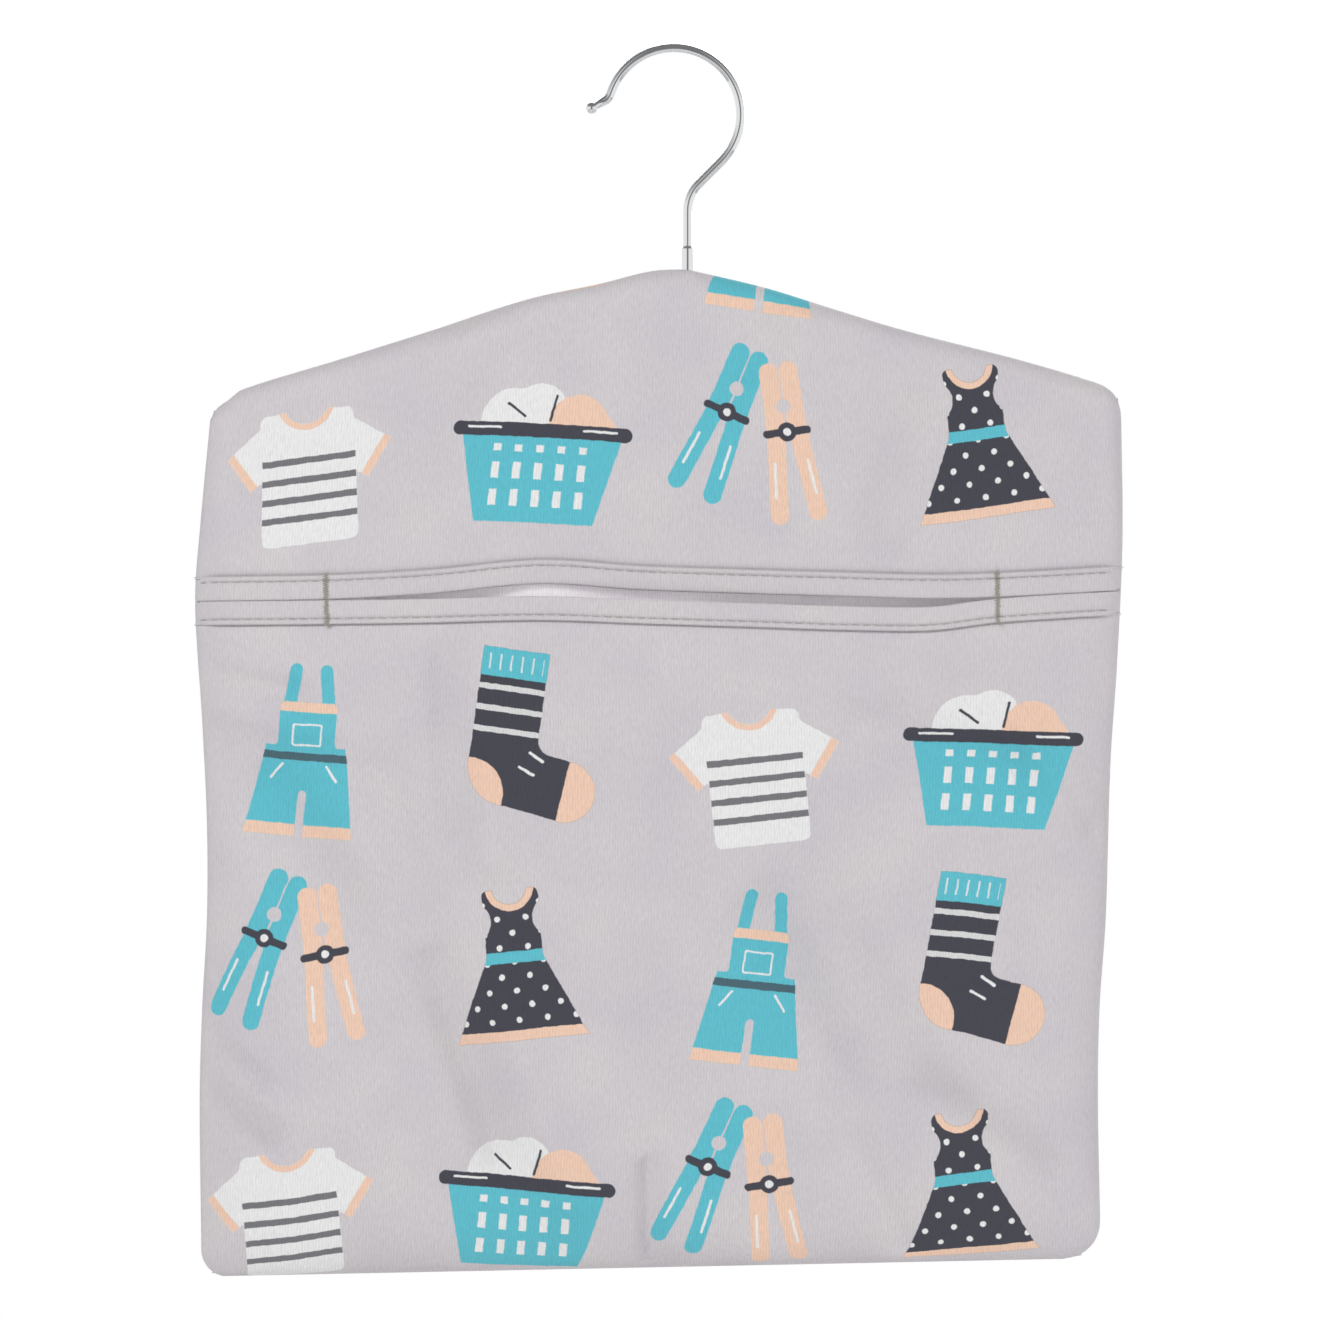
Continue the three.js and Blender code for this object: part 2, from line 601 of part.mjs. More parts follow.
addPiece("hook", hook(), materials.chrome);
addPiece("hook_washer", hookWasher(), materials.steel);
addPiece("hook_bush", hookBush(), materials.steel);
addPiece("hanger", hanger(), materials.wood);
addPiece("front_upper_panel", frontUpperPanel(), materials.cotton);
addPiece("front_lower_panel", frontLowerPanel(), materials.cotton);
addPiece("back_panel", backPanel(), materials.cotton);
addPiece("left_side_seam", sideSeam(leftSide, 1), materials.thread);
addPiece("right_side_seam", sideSeam(rightSide, -1), materials.thread);
addPiece("bottom_seam", bottomSeam(), materials.thread);
addPiece("left_bar_tack", barTack(MOUTH_LEFT), materials.thread);
addPiece("right_bar_tack", barTack(MOUTH_RIGHT), materials.thread);

export default pegBag;
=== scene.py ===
"""Peg bag: printed cotton sewn round a wooden hanger, open at a slit mouth, hung from a swivelling wire hook.

Lengths are in millimetres until a mesh is finished, and in metres in the studio. The origin is the point under
the hook's crook that rests on a line, x is to the right, z is up, and the front faces -y.
"""

import math
import random

import bmesh
import bpy
from mathutils import Matrix, Vector, noise


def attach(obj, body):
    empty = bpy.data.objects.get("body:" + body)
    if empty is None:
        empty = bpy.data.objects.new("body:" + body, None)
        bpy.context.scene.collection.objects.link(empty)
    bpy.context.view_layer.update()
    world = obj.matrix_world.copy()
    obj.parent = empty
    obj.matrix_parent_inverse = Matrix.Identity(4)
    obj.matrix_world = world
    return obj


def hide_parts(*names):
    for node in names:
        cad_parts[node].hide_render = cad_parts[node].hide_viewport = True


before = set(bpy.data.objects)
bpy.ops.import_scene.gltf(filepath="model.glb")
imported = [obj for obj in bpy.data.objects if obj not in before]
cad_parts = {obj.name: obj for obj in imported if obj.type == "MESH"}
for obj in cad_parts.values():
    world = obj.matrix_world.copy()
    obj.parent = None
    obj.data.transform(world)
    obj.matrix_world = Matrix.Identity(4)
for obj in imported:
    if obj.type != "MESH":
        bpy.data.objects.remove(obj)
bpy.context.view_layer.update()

MM = 0.001


# ---- Lines and rounds ----


def clamp(value):
    return min(1.0, max(0.0, value))


def mix(start, end, share):
    return start + (end - start) * share


def ease(value, start, end):
    """0 before start, 1 after end, smooth between."""
    share = clamp((value - start) / (end - start))
    return share * share * (3 - 2 * share)


def hump(value, width):
    return math.exp(-((value / width) ** 2))


def swell(share, fullness):
    """0 at an edge and 1 where the swelling ends; a fullness of 2 is a quarter circle, more is blunter."""
    return (1 - (1 - clamp(share)) ** fullness) ** (1 / fullness)


def through(points, at):
    """Value on a smooth line through a few (place, value) points, level beyond its ends."""
    if at <= points[0][0]:
        return points[0][1]
    if at >= points[-1][0]:
        return points[-1][1]
    k = next(n for n in range(len(points) - 1) if at <= points[n + 1][0])

    def slope(n):
        before, after = points[max(n - 1, 0)], points[min(n + 1, len(points) - 1)]
        return (after[1] - before[1]) / (after[0] - before[0])

    (start, low), (end, high) = points[k], points[k + 1]
    run = end - start
    t = (at - start) / run
    level = low + (high - low) * t * t * (3 - 2 * t)
    return level + run * t * (1 - t) * (slope(k) * (1 - t) - slope(k + 1) * t)


# ---- Outline of the bag ----

STEM_X = 4.5  # the hook's stem

# (height, x) down each side: the sides flare to the mouth and draw in again below it
LEFT_SIDE = (
    (-392, -156.0),
    (-345, -156.5),
    (-316, -155.7),
    (-285, -154.1),
    (-255, -154.1),
    (-222, -155.6),
    (-181, -158.0),
    (-155, -156.2),
    (-121, -153.0),
)
RIGHT_SIDE = (
    (-385, 140.6),
    (-345, 139.9),
    (-316, 140.4),
    (-285, 142.5),
    (-235, 144.0),
    (-202, 146.2),
    (-161, 148.0),
    (-121, 147.6),
)
LEFT_CORNER_R, RIGHT_CORNER_R = 9, 12

# (x, height) along the top: the left shoulder hangs free of the hanger and folds off straight, the right one
# is pulled round the hanger's end, and the ridge sits left of the stem
TOP_LINE = (
    (-153.0, -121.4),
    (-150.8, -117.6),
    (-146.9, -114.7),
    (-142.9, -111.5),
    (-111, -101.6),
    (-79.5, -91.7),
    (-57.4, -84.3),
    (-44.2, -80.5),
    (-24.4, -76.4),
    (-11.2, -73.0),
    (-4.6, -71.9),
    (4.0, -71.9),
    (14.5, -74.0),
    (31.7, -78.2),
    (51.5, -84.4),
    (75.6, -91.7),
    (114.2, -101.6),
    (139.0, -109.0),
    (143.0, -110.9),
    (145.8, -113.8),
    (147.2, -118.0),
    (147.6, -122.0),
)


def bottom_edge(x):
    return -400.8 + 0.0206 * x


def corner_drop(distance, radius):
    """How far a rounded corner falls back from its square one."""
    share = clamp(1 - distance / radius)
    return radius * (1 - math.sqrt(1 - share * share))


def left_side(z):
    side = through(LEFT_SIDE, z)
    return side + corner_drop(z - bottom_edge(side), LEFT_CORNER_R)


def right_side(z):
    side = through(RIGHT_SIDE, z)
    return side - corner_drop(z - bottom_edge(side), RIGHT_CORNER_R)


def from_side(x, z):
    """How far in from the nearer side."""
    return min(x - left_side(z), right_side(z) - x)


def top_edge(x):
    return through(TOP_LINE, x)


# ---- Depth of the bag, front to back ----

TOP_HALF = 7.5  # over the hanger
POUCH_HALF = 14
HANGER_END_Z = -138.4
BELLY_Z = -290
SIDE_ROUND = 60
BOTTOM_ROUND = 55
FULLNESS = 2.5  # how bluntly the pouch swells from its seams
SEAM_HALF = 0.45  # each cloth's thickness at the seam
HANGER_ROOM = 0.9  # between the cloth and the hanger's face
LET_GO_Z = (-126, -148)  # between these heights the cloth leaves the hanger's face
CREASE_HOLD, SLACK_HOLD = 8, 16  # how far in from the outline the seams hold creases and slack down
FRONT_SEED, BACK_SEED = 1.5, 4.5  # of each side's slack


def half_depth(x, z):
    """From the middle plane to the outside of a panel."""
    belly = ease(-z, -HANGER_END_Z, -BELLY_Z)
    side = swell(from_side(x, z) / mix(TOP_HALF, SIDE_ROUND, belly), mix(2, FULLNESS, belly))
    top = swell((top_edge(x) - z) / TOP_HALF, 2)
    bottom = swell((z - bottom_edge(x)) / BOTTOM_ROUND, FULLNESS)
    return mix(TOP_HALF, POUCH_HALF, belly) * min(side, top) * bottom + SEAM_HALF


# Creases and soft hollows of each side: from x, z to x, z, half width, height
FRONT_FOLDS = (
    (43, -84, 35, -110, 7.0, 2.4),
    (22, -86, 14, -114, 8.0, 1.4),
    (32.5, -84, 24, -109, 1.5, -1.7),
    (-66, -92, -92, -146, 10, 3.0),
    (-40, -90, -66, -140, 8.0, -1.0),
    (89, -114, 71, -158, 8.0, 2.8),
    (77, -112, 59, -156, 2.2, -1.2),
    (106, -122, 120, -160, 9.0, 2.0),
    (-154, -204, -124, -211, 3.0, -2.2),
    (-150, -216, -114, -224, 6.0, 3.0),
    (-134, -244, -108, -282, 12, -6.2),
    (-98, -238, -84, -286, 9.0, -4.5),
    (-78, -196, -75, -258, 4.0, -2.0),
    (-66, -200, -60, -266, 7.0, 3.2),
    (-80, -300, -58, -364, 7.0, -5.5),
    (-56, -314, -34, -376, 9.0, 4.2),
    (-155, -322, -135, -339, 2.8, -2.6),
    (-156, -342, -134, -360, 2.8, -2.8),
    (-152, -332, -128, -350, 4.5, 2.4),
    (-10, -366, -9, -400, 2.4, -2.4),
    (-1, -364, 0, -398, 6.0, 2.5),
    (124, -234, 140, -260, 2.6, -2.4),
    (116, -226, 133, -250, 6.0, 3.0),
    (62, -222, 114, -238, 9.0, -4.5),
    (28, -284, 54, -340, 10, -5.0),
    (66, -280, 92, -334, 10, 2.5),
    (84, -344, 118, -368, 9.0, -4.5),
    (58, -358, 78, -398, 5.0, -2.6),
)
BACK_FOLDS = (
    (-90, -150, -60, -250, 14, -1.2),
    (60, -140, 95, -240, 13, -1.1),
    (0, -230, 12, -330, 16, -1.0),
    (-120, -300, -80, -370, 9, -1.1),
    (90, -290, 70, -372, 9, -1.0),
    (-30, -95, -44, -150, 6, -0.7),
)


def fold_height(x, z, folds):
    """Sum of the creases at a point; each is as deep as it says along its line, and fades out around it."""
    point, height = Vector((x, z)), 0.0
    for from_x, from_z, to_x, to_z, width, depth in folds:
        start, run = Vector((from_x, from_z)), Vector((to_x - from_x, to_z - from_z))
        share = clamp((point - start).dot(run) / run.length_squared)
        height += depth * hump((point - start - run * share).length, width)
    return height


# The hand of the cloth, as broad slack and a smaller ripple: width, length, height, seed
WAVES = (
    (34, 48, 2.8, 0),
    (13, 18, 0.35, 7),
)


def waviness(x, z, seed):
    return sum(
        height * noise.noise(Vector((x / wide, z / long, seed + own_seed)))
        for wide, long, height, own_seed in WAVES
    )


def edge_fade(x, z, reach):
    """0 at the outline, where the seams hold the cloth, and 1 a little way in."""
    return ease(min(from_side(x, z), top_edge(x) - z, z - bottom_edge(x)), 0, reach)


def drape(x, z, folds, seed):
    """How far the cloth stands off its smooth shape."""
    creases = edge_fade(x, z, CREASE_HOLD) * fold_height(x, z, folds)
    return creases + edge_fade(x, z, SLACK_HOLD) * waviness(x, z, seed)


def over_hanger(z, slack):
    """Cloth can't sink into the hanger that it lies on."""
    return mix(max(slack, -HANGER_ROOM), slack, ease(-z, -LET_GO_Z[0], -LET_GO_Z[1]))


GATHER_PITCH, GATHER_SPREAD, GATHER_HEIGHT = 5.5, 4, 0.22  # along the side and bottom seams
SIDE_GATHER, BOTTOM_GATHER = 4, 5  # how far in they stand


def seam_pucker(x, z):
    """Small gathers along the side and bottom seams."""
    near_side = hump(from_side(x, z) - SIDE_GATHER, GATHER_SPREAD)
    along_side = noise.noise(Vector((z / GATHER_PITCH, 3, 1))) * near_side
    near_bottom = hump(z - bottom_edge(x) - BOTTOM_GATHER, GATHER_SPREAD)
    along_bottom = noise.noise(Vector((x / GATHER_PITCH, 9, 1))) * near_bottom
    return GATHER_HEIGHT * (along_side + along_bottom)


# ---- Mouth ----

# (x, z) along each lip; the two meet where they are sewn shut at the sides
UPPER_LIP = (
    (-160, -181.3),
    (-114, -180.6),
    (-80, -178.8),
    (-44, -175.6),
    (-11, -177.6),
    (30, -179.0),
    (55, -179.7),
    (84, -180.4),
    (106, -179.9),
    (150, -177.5),
)
LOWER_LIP = (
    (-160, -181.3),
    (-114, -180.9),
    (-80, -180.4),
    (-44, -179.6),
    (-11, -180.7),
    (30, -182.0),
    (55, -182.8),
    (84, -183.0),
    (106, -180.4),
    (150, -177.6),
)
TACK_XS = (-114.3, 106.3)
LIP_OUT = 4.0  # how far the lower lip hangs forward of the upper one
LIP_FADE = 70  # how far below the lip it is back in line
BACK_SLACK, BACK_SLACK_TALL = 11.0, 45  # how far the back hangs in behind the mouth, and over what height
BACK_SLACK_RISE = 0.3  # the smaller, the sooner it is slack beside a bar tack
GAPE_X, GAPE_WIDE = -44, 34  # where the mouth stands widest open
BACK_PUSH = 5.0  # how much nearer the back comes there
HEM_HOLD, HEM_HOLD_REACH = 0.7, 14  # the stiff hem lies flatter than the cloth beside it
LIP_ROLL = 0.75  # radius of the folded edge
STITCH_IN = 6.1  # from the lip to the stitching
BAND = 7.9  # depth of the hem along a lip
PLAIN_BAND = 8.2  # the hem and the crease along it, which carry no print
# Section across the hem, as (from the lip, height above the panel): a pillow from lip to stitching, a groove
# that the thread pulls in, a bead, and a folded edge that overhangs the panel
HEM_SECTION = (
    (0.75, 0.9),
    (1.3, 1.0),
    (2.2, 1.1),
    (3.4, 1.15),
    (4.6, 1.1),
    (5.3, 0.95),
    (5.7, 0.7),
    (5.95, 0.35),
    (6.1, 0.2),
    (6.25, 0.35),
    (6.5, 0.75),
    (6.8, 1.0),
    (7.15, 1.1),
    (7.5, 1.0),
    (7.75, 0.78),
    (7.9, 0.5),
    (7.8, 0.0),
    (7.6, -0.75),
    (8.0, -1.0),
    (8.35, -0.6),
    (9.1, -0.15),
    (10.5, 0.0),
)
BEAD_POINT = 13  # points of the section from the lip to the top of the bead
# Gathers along the stitching, the drag lines they pull into the cloth, and those on the pillow: pitch along
# the hem, length, from the lip, spread, height, seed
HEM_GATHERS = (
    (4.6, 30, BAND, 4.5, 0.2, 2),
    (11, 30, BAND + 3, 9, 0.3, 5),
    (2.6, 20, STITCH_IN - 2, 3, 0.16, 8),
)
STEM_GAP, STEM_GAP_WIDE, STEM_GAP_DEEP = 1.9, 3.2, 3


def mouth_open(x):
    """0 at the bar tacks, 1 halfway between them."""
    return math.sin(math.pi * clamp((x - TACK_XS[0]) / (TACK_XS[1] - TACK_XS[0]))) ** 2


def hem_height(from_lip):
    """Height of the hem's outside between the lip and its bead."""
    return through(HEM_SECTION[:BEAD_POINT], from_lip)


def hem_pucker(from_lip, x):
    return sum(
        height * noise.noise(Vector((x / pitch, seed, from_lip / long))) * hump(from_lip - centre, spread)
        for pitch, long, centre, spread, height, seed in HEM_GATHERS
    )


def stem_gap(x, z):
    """The top seam is left open round the hook's stem."""
    return STEM_GAP * hump(x - STEM_X, STEM_GAP_WIDE) * hump(top_edge(x) - z, STEM_GAP_DEEP)


def front_depth(x, z, lip, up):
    from_lip = up * (z - through(lip, x))
    free = edge_fade(x, z, SLACK_HOLD)
    held = 1 - HEM_HOLD * hump(from_lip, HEM_HOLD_REACH)
    depth = half_depth(x, z) + held * over_hanger(z, drape(x, z, FRONT_FOLDS, FRONT_SEED))
    depth += stem_gap(x, z) + free * (seam_pucker(x, z) + hem_pucker(from_lip, x))
    if up < 0:
        depth += LIP_OUT * mouth_open(x) * ease(z, through(lip, x) - LIP_FADE, through(lip, x))
    return depth


def back_depth(x, z):
    hang = BACK_SLACK * mouth_open(x) ** BACK_SLACK_RISE + BACK_PUSH * hump(x - GAPE_X, GAPE_WIDE)
    hang *= hump(z - UPPER_LIP[0][1], BACK_SLACK_TALL)
    slack = over_hanger(z, drape(x, z, BACK_FOLDS, BACK_SEED) - hang)
    return half_depth(x, z) + slack + stem_gap(x, z) + edge_fade(x, z, SLACK_HOLD) * seam_pucker(x, z)


# ---- Panels of cloth ----

# Rows or columns in from a seam, close where the cloth turns over
EDGE_STEPS = (0, 0.12, 0.4, 0.9, 1.6, 2.6, 4, 5.6, 7.5, 9.8, 12)
HEM_INSIDE = (7, 3.5, 1.2)  # rows of cloth turned in behind a lip, from its raw edge
HEM_SHORT = 3.5  # how far they stop short of the side seams
LIP_TURNS = (150, 120, 90, 60, 30)  # rows round the lip, in degrees turned
LIP_ROW = len(HEM_INSIDE) + len(LIP_TURNS)  # the first row on the outside
TUCK = 1.6  # cloth turned in along a seam
TUCK_HALF = 0.02  # from the middle plane to the tuck
CLOTH_THICK = 0.6
COLUMNS = 130
UPPER_ROWS, LOWER_ROWS, BACK_ROWS = 38, 92, 110
STRAIN_REACH = 20  # rows or columns, about 43 mm


def seam_to_seam(count):
    """Lines from one seam of a panel to the other: (share of the way, millimetres beyond, tucked in)."""
    lines = [(0, TUCK, True)] + [(0, step, False) for step in EDGE_STEPS]
    for n in range(1, count):
        share = n / count
        lines.append((share, EDGE_STEPS[-1] * (1 - 2 * share), False))
    return lines + [(1, -step, False) for step in reversed(EDGE_STEPS)] + [(1, -TUCK, True)]


panel_columns = seam_to_seam(COLUMNS)


def column_x(column, z):
    share, beyond, _ = column
    return mix(left_side(z), right_side(z), share) + beyond


def front_rows(count):
    """Rows from the raw edge inside the hem, round the lip and out to the far seam.

    Each is (share of the way from lip to seam, millimetres beyond, height over the panel, degrees turned round
    the lip, tucked in).
    """
    lip_height = HEM_SECTION[0][1]
    rows = [(0, LIP_ROLL + inside, lip_height, 180, False) for inside in HEM_INSIDE]
    for turn in LIP_TURNS:
        rows.append((0, LIP_ROLL * (1 - math.sin(math.radians(turn))), lip_height, turn, False))
    rows += [(0, beyond, height, 0, False) for beyond, height in HEM_SECTION]
    for n in range(1, count):
        share = n / count
        rows.append((share, mix(HEM_SECTION[-1][0], -EDGE_STEPS[-1], share), 0, 0, False))
    rows += [(1, -step, 0, 0, False) for step in reversed(EDGE_STEPS)]
    return rows + [(1, -TUCK, 0, 0, True)]


def front_point(column, row, lip, seam, up):
    share, beyond, height, turn, tucked = row
    z = mix(through(lip, 0), seam(0), share)
    for _ in range(3):  # x depends on z and z on x
        x = column_x(column, z)
        z = mix(through(lip, x), seam(x), share) + up * beyond
    inset = HEM_SHORT * turn / 180
    x = min(max(x, left_side(z) + inset), right_side(z) - inset)
    if tucked or column[2]:
        return Vector((x, -TUCK_HALF, z))
    face_z = through(lip, x) + up * max(up * (z - through(lip, x)), LIP_ROLL)
    depth = front_depth(x, face_z, lip, up) + height * edge_fade(x, face_z, CREASE_HOLD)
    y = LIP_ROLL * (1 - math.cos(math.radians(turn))) - depth
    return Vector((x, min(y, -TUCK_HALF), z))


def back_point(column, row):
    share, beyond, tucked = row
    z = mix(bottom_edge(0), top_edge(0), share)
    for _ in range(3):
        x = column_x(column, z)
        z = mix(bottom_edge(x), top_edge(x), share) + beyond
    if tucked or column[2]:
        return Vector((x, TUCK_HALF, z))
    return Vector((x, back_depth(x, z), z))


def finished(name, mesh, materials, body, replaced=()):
    """Turn a bmesh in millimetres into a smooth piece in metres that rides on a body."""
    bmesh.ops.scale(mesh, vec=(MM, MM, MM), verts=mesh.verts)
    data = bpy.data.meshes.new(name)
    for face in mesh.faces:
        face.smooth = True
    mesh.to_mesh(data)
    mesh.free()
    piece = bpy.data.objects.new(name, data)
    bpy.context.scene.collection.objects.link(piece)
    for material in materials:
        data.materials.append(material)
    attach(piece, body)
    if replaced:
        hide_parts(*replaced)
    return piece


def run_lengths(line, start):
    """Signed length along a line of points, from its start."""
    lengths = [0.0] * len(line)
    for n in range(start + 1, len(line)):
        lengths[n] = lengths[n - 1] + (line[n] - line[n - 1]).length
    for n in range(start - 1, -1, -1):
        lengths[n] = lengths[n + 1] - (line[n] - line[n + 1]).length
    return lengths


def evened(lines, reach):
    """Each line of lengths averaged with its neighbours."""
    spans = (lines[max(n - reach, 0) : n + reach + 1] for n in range(len(lines)))
    return [[sum(near) / len(near) for near in zip(*span)] for span in spans]


def cloth_panel(name, rows, place, start_row, cut_from, hem_rows, outwards, node):
    """A panel cut flat and bent to shape.

    Its UV map is the flat cloth in millimetres, counted from start_row, which lies at cut_from on the print.
    """
    mesh = bmesh.new()
    wide, high = len(panel_columns) - 1, len(rows) - 1
    bmesh.ops.create_grid(mesh, x_segments=wide, y_segments=high, size=1)
    cell = {v: (round((v.co.x + 1) / 2 * wide), round((v.co.y + 1) / 2 * high)) for v in mesh.verts}
    points = {(c, r): place(panel_columns[c], rows[r]) for c in range(wide + 1) for r in range(high + 1)}

    # What a line gains over the straight way in a fold is shared out with its neighbours, as a weave does
    across, up = [], []
    for r in range(high + 1):
        line = [points[c, r] for c in range(wide + 1)]
        across.append([run - point.x for run, point in zip(run_lengths(line, wide // 2), line)])
    for c in range(wide + 1):
        line = [points[c, r] for r in range(high + 1)]
        up.append([run - point.z for run, point in zip(run_lengths(line, start_row), line)])
    across, up = evened(across, STRAIN_REACH), evened(up, STRAIN_REACH)
    flat = {
        (c, r): (point.x + across[r][c] + cut_from[0], point.z + up[c][r] + cut_from[1])
        for (c, r), point in points.items()
    }

    uv = mesh.loops.layers.uv.new("cloth")
    for face in mesh.faces:
        for loop in face.loops:
            loop[uv].uv = flat[cell[loop.vert]]
        face.material_index = int(all(cell[v][1] in hem_rows for v in face.verts))
    for vert, at in cell.items():
        vert.co = points[at]
    if not outwards:
        bmesh.ops.reverse_faces(mesh, faces=mesh.faces)
    materials = printed_cotton, plain_cotton, cotton_reverse
    piece = finished(name, mesh, materials, "bag", (node,))
    wall = piece.modifiers.new("cloth thickness", "SOLIDIFY")
    wall.thickness, wall.offset = CLOTH_THICK * MM, -1
    wall.material_offset = 2
    return piece


# ---- Node and colour helpers ----


def linear(hex_colour):
    """An sRGB hex colour as linear RGBA."""
    levels = [int(hex_colour[k : k + 2], 16) / 255 for k in (1, 3, 5)]
    return (*[v / 12.92 if v <= 0.04045 else ((v + 0.055) / 1.055) ** 2.4 for v in levels], 1)


def add(tree, kind, inputs, **settings):
    """Add a shader node. Its inputs are values, or the nodes or sockets that feed them."""
    node = tree.nodes.new("ShaderNode" + kind)
    for name, value in settings.items():
        setattr(node, name, value)
    for name, value in inputs.items():
        if isinstance(name, int):
            socket = node.inputs[name]
        else:
            socket = next(s for s in node.inputs if s.enabled and s.name == name)
        if isinstance(value, bpy.types.Node):
            value = next(s for s in value.outputs if s.enabled)
        if isinstance(value, bpy.types.NodeSocket):
            tree.links.new(value, socket)
        else:
            socket.default_value = value
    return node


def new_material(name):
    material = bpy.data.materials.new(name)
    material.use_nodes = True
    material.node_tree.nodes.clear()
    return material, material.node_tree


def blend(tree, share, first, second):
    return add(tree, "Mix", {"Factor": share, "A": first, "B": second}, data_type="RGBA")


def surface(tree, **inputs):
    """End a material in one surface, whose inputs are named with _ for a space."""
    shader = add(tree, "BsdfPrincipled", {name.replace("_", " "): value for name, value in inputs.items()})
    add(tree, "OutputMaterial", {"Surface": shader})


# ---- Print: laundry motifs in four inks, each shape a distance in millimetres that is negative inside ----


def capsule(tree, place, start, end, radius):
    run = Vector((*end, 0)) - Vector((*start, 0))
    offset = add(tree, "VectorMath", {0: place, 1: (*start, 0)}, operation="SUBTRACT")
    along = add(tree, "VectorMath", {0: offset, 1: run / run.length_squared}, operation="DOT_PRODUCT")
    share = add(tree, "Math", {0: along, 1: 0.0}, operation="ADD", use_clamp=True)
    nearest = add(tree, "VectorMath", {0: run, "Scale": share}, operation="SCALE")
    away = add(tree, "VectorMath", {0: offset, 1: nearest}, operation="DISTANCE")
    return add(tree, "Math", {0: away, 1: radius}, operation="SUBTRACT")


def disc(tree, place, centre, radius):
    away = add(tree, "VectorMath", {0: place, 1: (*centre, 0)}, operation="DISTANCE")
    return add(tree, "Math", {0: away, 1: radius}, operation="SUBTRACT")


def block(tree, place, centre, half, corner):
    offset = add(tree, "VectorMath", {0: place, 1: (*centre, 0)}, operation="SUBTRACT")
    offset = add(tree, "VectorMath", {0: offset}, operation="ABSOLUTE")
    core = (half[0] - corner, half[1] - corner, 0)
    offset = add(tree, "VectorMath", {0: offset, 1: core}, operation="SUBTRACT")
    offset = add(tree, "VectorMath", {0: offset, 1: (0, 0, 0)}, operation="MAXIMUM")
    away = add(tree, "VectorMath", {0: offset}, operation="LENGTH")
    return add(tree, "Math", {0: away, 1: corner}, operation="SUBTRACT")


def below(tree, place, direction, limit):
    """Where a point lies less far along a direction than the limit."""
    along = add(tree, "VectorMath", {0: place, 1: (*direction, 0)}, operation="DOT_PRODUCT")
    return add(tree, "Math", {0: along, 1: limit}, operation="SUBTRACT")


def either(tree, first, second, soft=0.0):
    return add(tree, "Math", {0: first, 1: second, 2: soft}, operation="SMOOTH_MIN")


def both(tree, first, second):
    return add(tree, "Math", {0: first, 1: second}, operation="MAXIMUM")


def without(tree, shape, hole):
    return both(tree, shape, add(tree, "Math", {0: hole, 1: -1.0}, operation="MULTIPLY"))


def mirrored(tree, place):
    parts = add(tree, "SeparateXYZ", {0: place})
    side = add(tree, "Math", {0: parts.outputs["X"]}, operation="ABSOLUTE")
    return add(tree, "CombineXYZ", {"X": side, "Y": parts.outputs["Y"]})


def stripes(tree, place, axis, pitch, width):
    """Bars across an axis, a pitch apart."""
    at = add(tree, "SeparateXYZ", {0: place}).outputs[axis]
    away = add(tree, "Math", {0: at, 1: pitch / 2}, operation="PINGPONG")
    return add(tree, "Math", {0: away, 1: width / 2}, operation="SUBTRACT")


def ink(tree, under, colour, shape):
    """Print a shape over what is under it, with an edge 0.3 mm soft."""
    where = add(tree, "MapRange", {"Value": shape, "From Min": 0.15, "From Max": -0.15})
    return blend(tree, where, under, colour)


CHARCOAL, WHITE, TEAL, PEACH = (linear(c) for c in ("#44444e", "#e6e6e6", "#5fbccb", "#ebc8b2"))


def sock(tree, cloth, place):
    leg = capsule(tree, place, (-6, 34), (-6, -10), 11)
    foot = capsule(tree, place, (-5, -14), (16, -17), 10)
    shape = both(tree, either(tree, leg, foot, 7.0), below(tree, place, (0, 1), 27))
    cloth = ink(tree, cloth, CHARCOAL, shape)
    heel = disc(tree, place, (-16, -22), 12)
    cloth = ink(tree, cloth, PEACH, both(tree, shape, heel))
    cloth = ink(tree, cloth, PEACH, both(tree, shape, below(tree, place, (-1, 0.1), -17)))
    fold = capsule(tree, place, (3, -6), (7.5, -8.2), 0.5)
    cloth = ink(tree, cloth, WHITE, either(tree, fold, capsule(tree, place, (0, -11), (5, -13), 0.45)))
    leg_stripes = both(tree, stripes(tree, place, "Y", 7, 1.8), block(tree, place, (-6, 7), (20, 8.5), 0.1))
    cloth = ink(tree, cloth, WHITE, both(tree, shape, leg_stripes))
    cloth = ink(tree, cloth, TEAL, both(tree, shape, below(tree, place, (0, -1), -17.5)))
    ribs = both(tree, stripes(tree, place, "X", 3.6, 0.55), block(tree, place, (-6, 22.3), (9.5, 2.6), 0.1))
    return ink(tree, cloth, WHITE, ribs)


def shirt(tree, cloth, place):
    half = mirrored(tree, place)
    torso = block(tree, place, (0, -6), (16, 22), 2.5)
    sleeve = capsule(tree, half, (8, 9), (26, -4), 7.2)
    sleeve = both(tree, sleeve, below(tree, half, (0.81, -0.585), 21))
    collar = disc(tree, place, (0, 20), 8)
    shape = without(tree, either(tree, torso, sleeve, 1.5), collar)
    cloth = ink(tree, cloth, WHITE, shape)
    bars = both(tree, stripes(tree, place, "Y", 6.4, 2.1), block(tree, place, (0, -9.6), (15.9, 14.2), 0.1))
    cloth = ink(tree, cloth, CHARCOAL, both(tree, shape, bars))
    cloth = ink(tree, cloth, PEACH, both(tree, shape, disc(tree, place, (0, 20), 10)))
    cuff = both(tree, below(tree, half, (-0.81, 0.585), -18.2), below(tree, half, (-1, 0), -16.4))
    return ink(tree, cloth, PEACH, both(tree, sleeve, cuff))


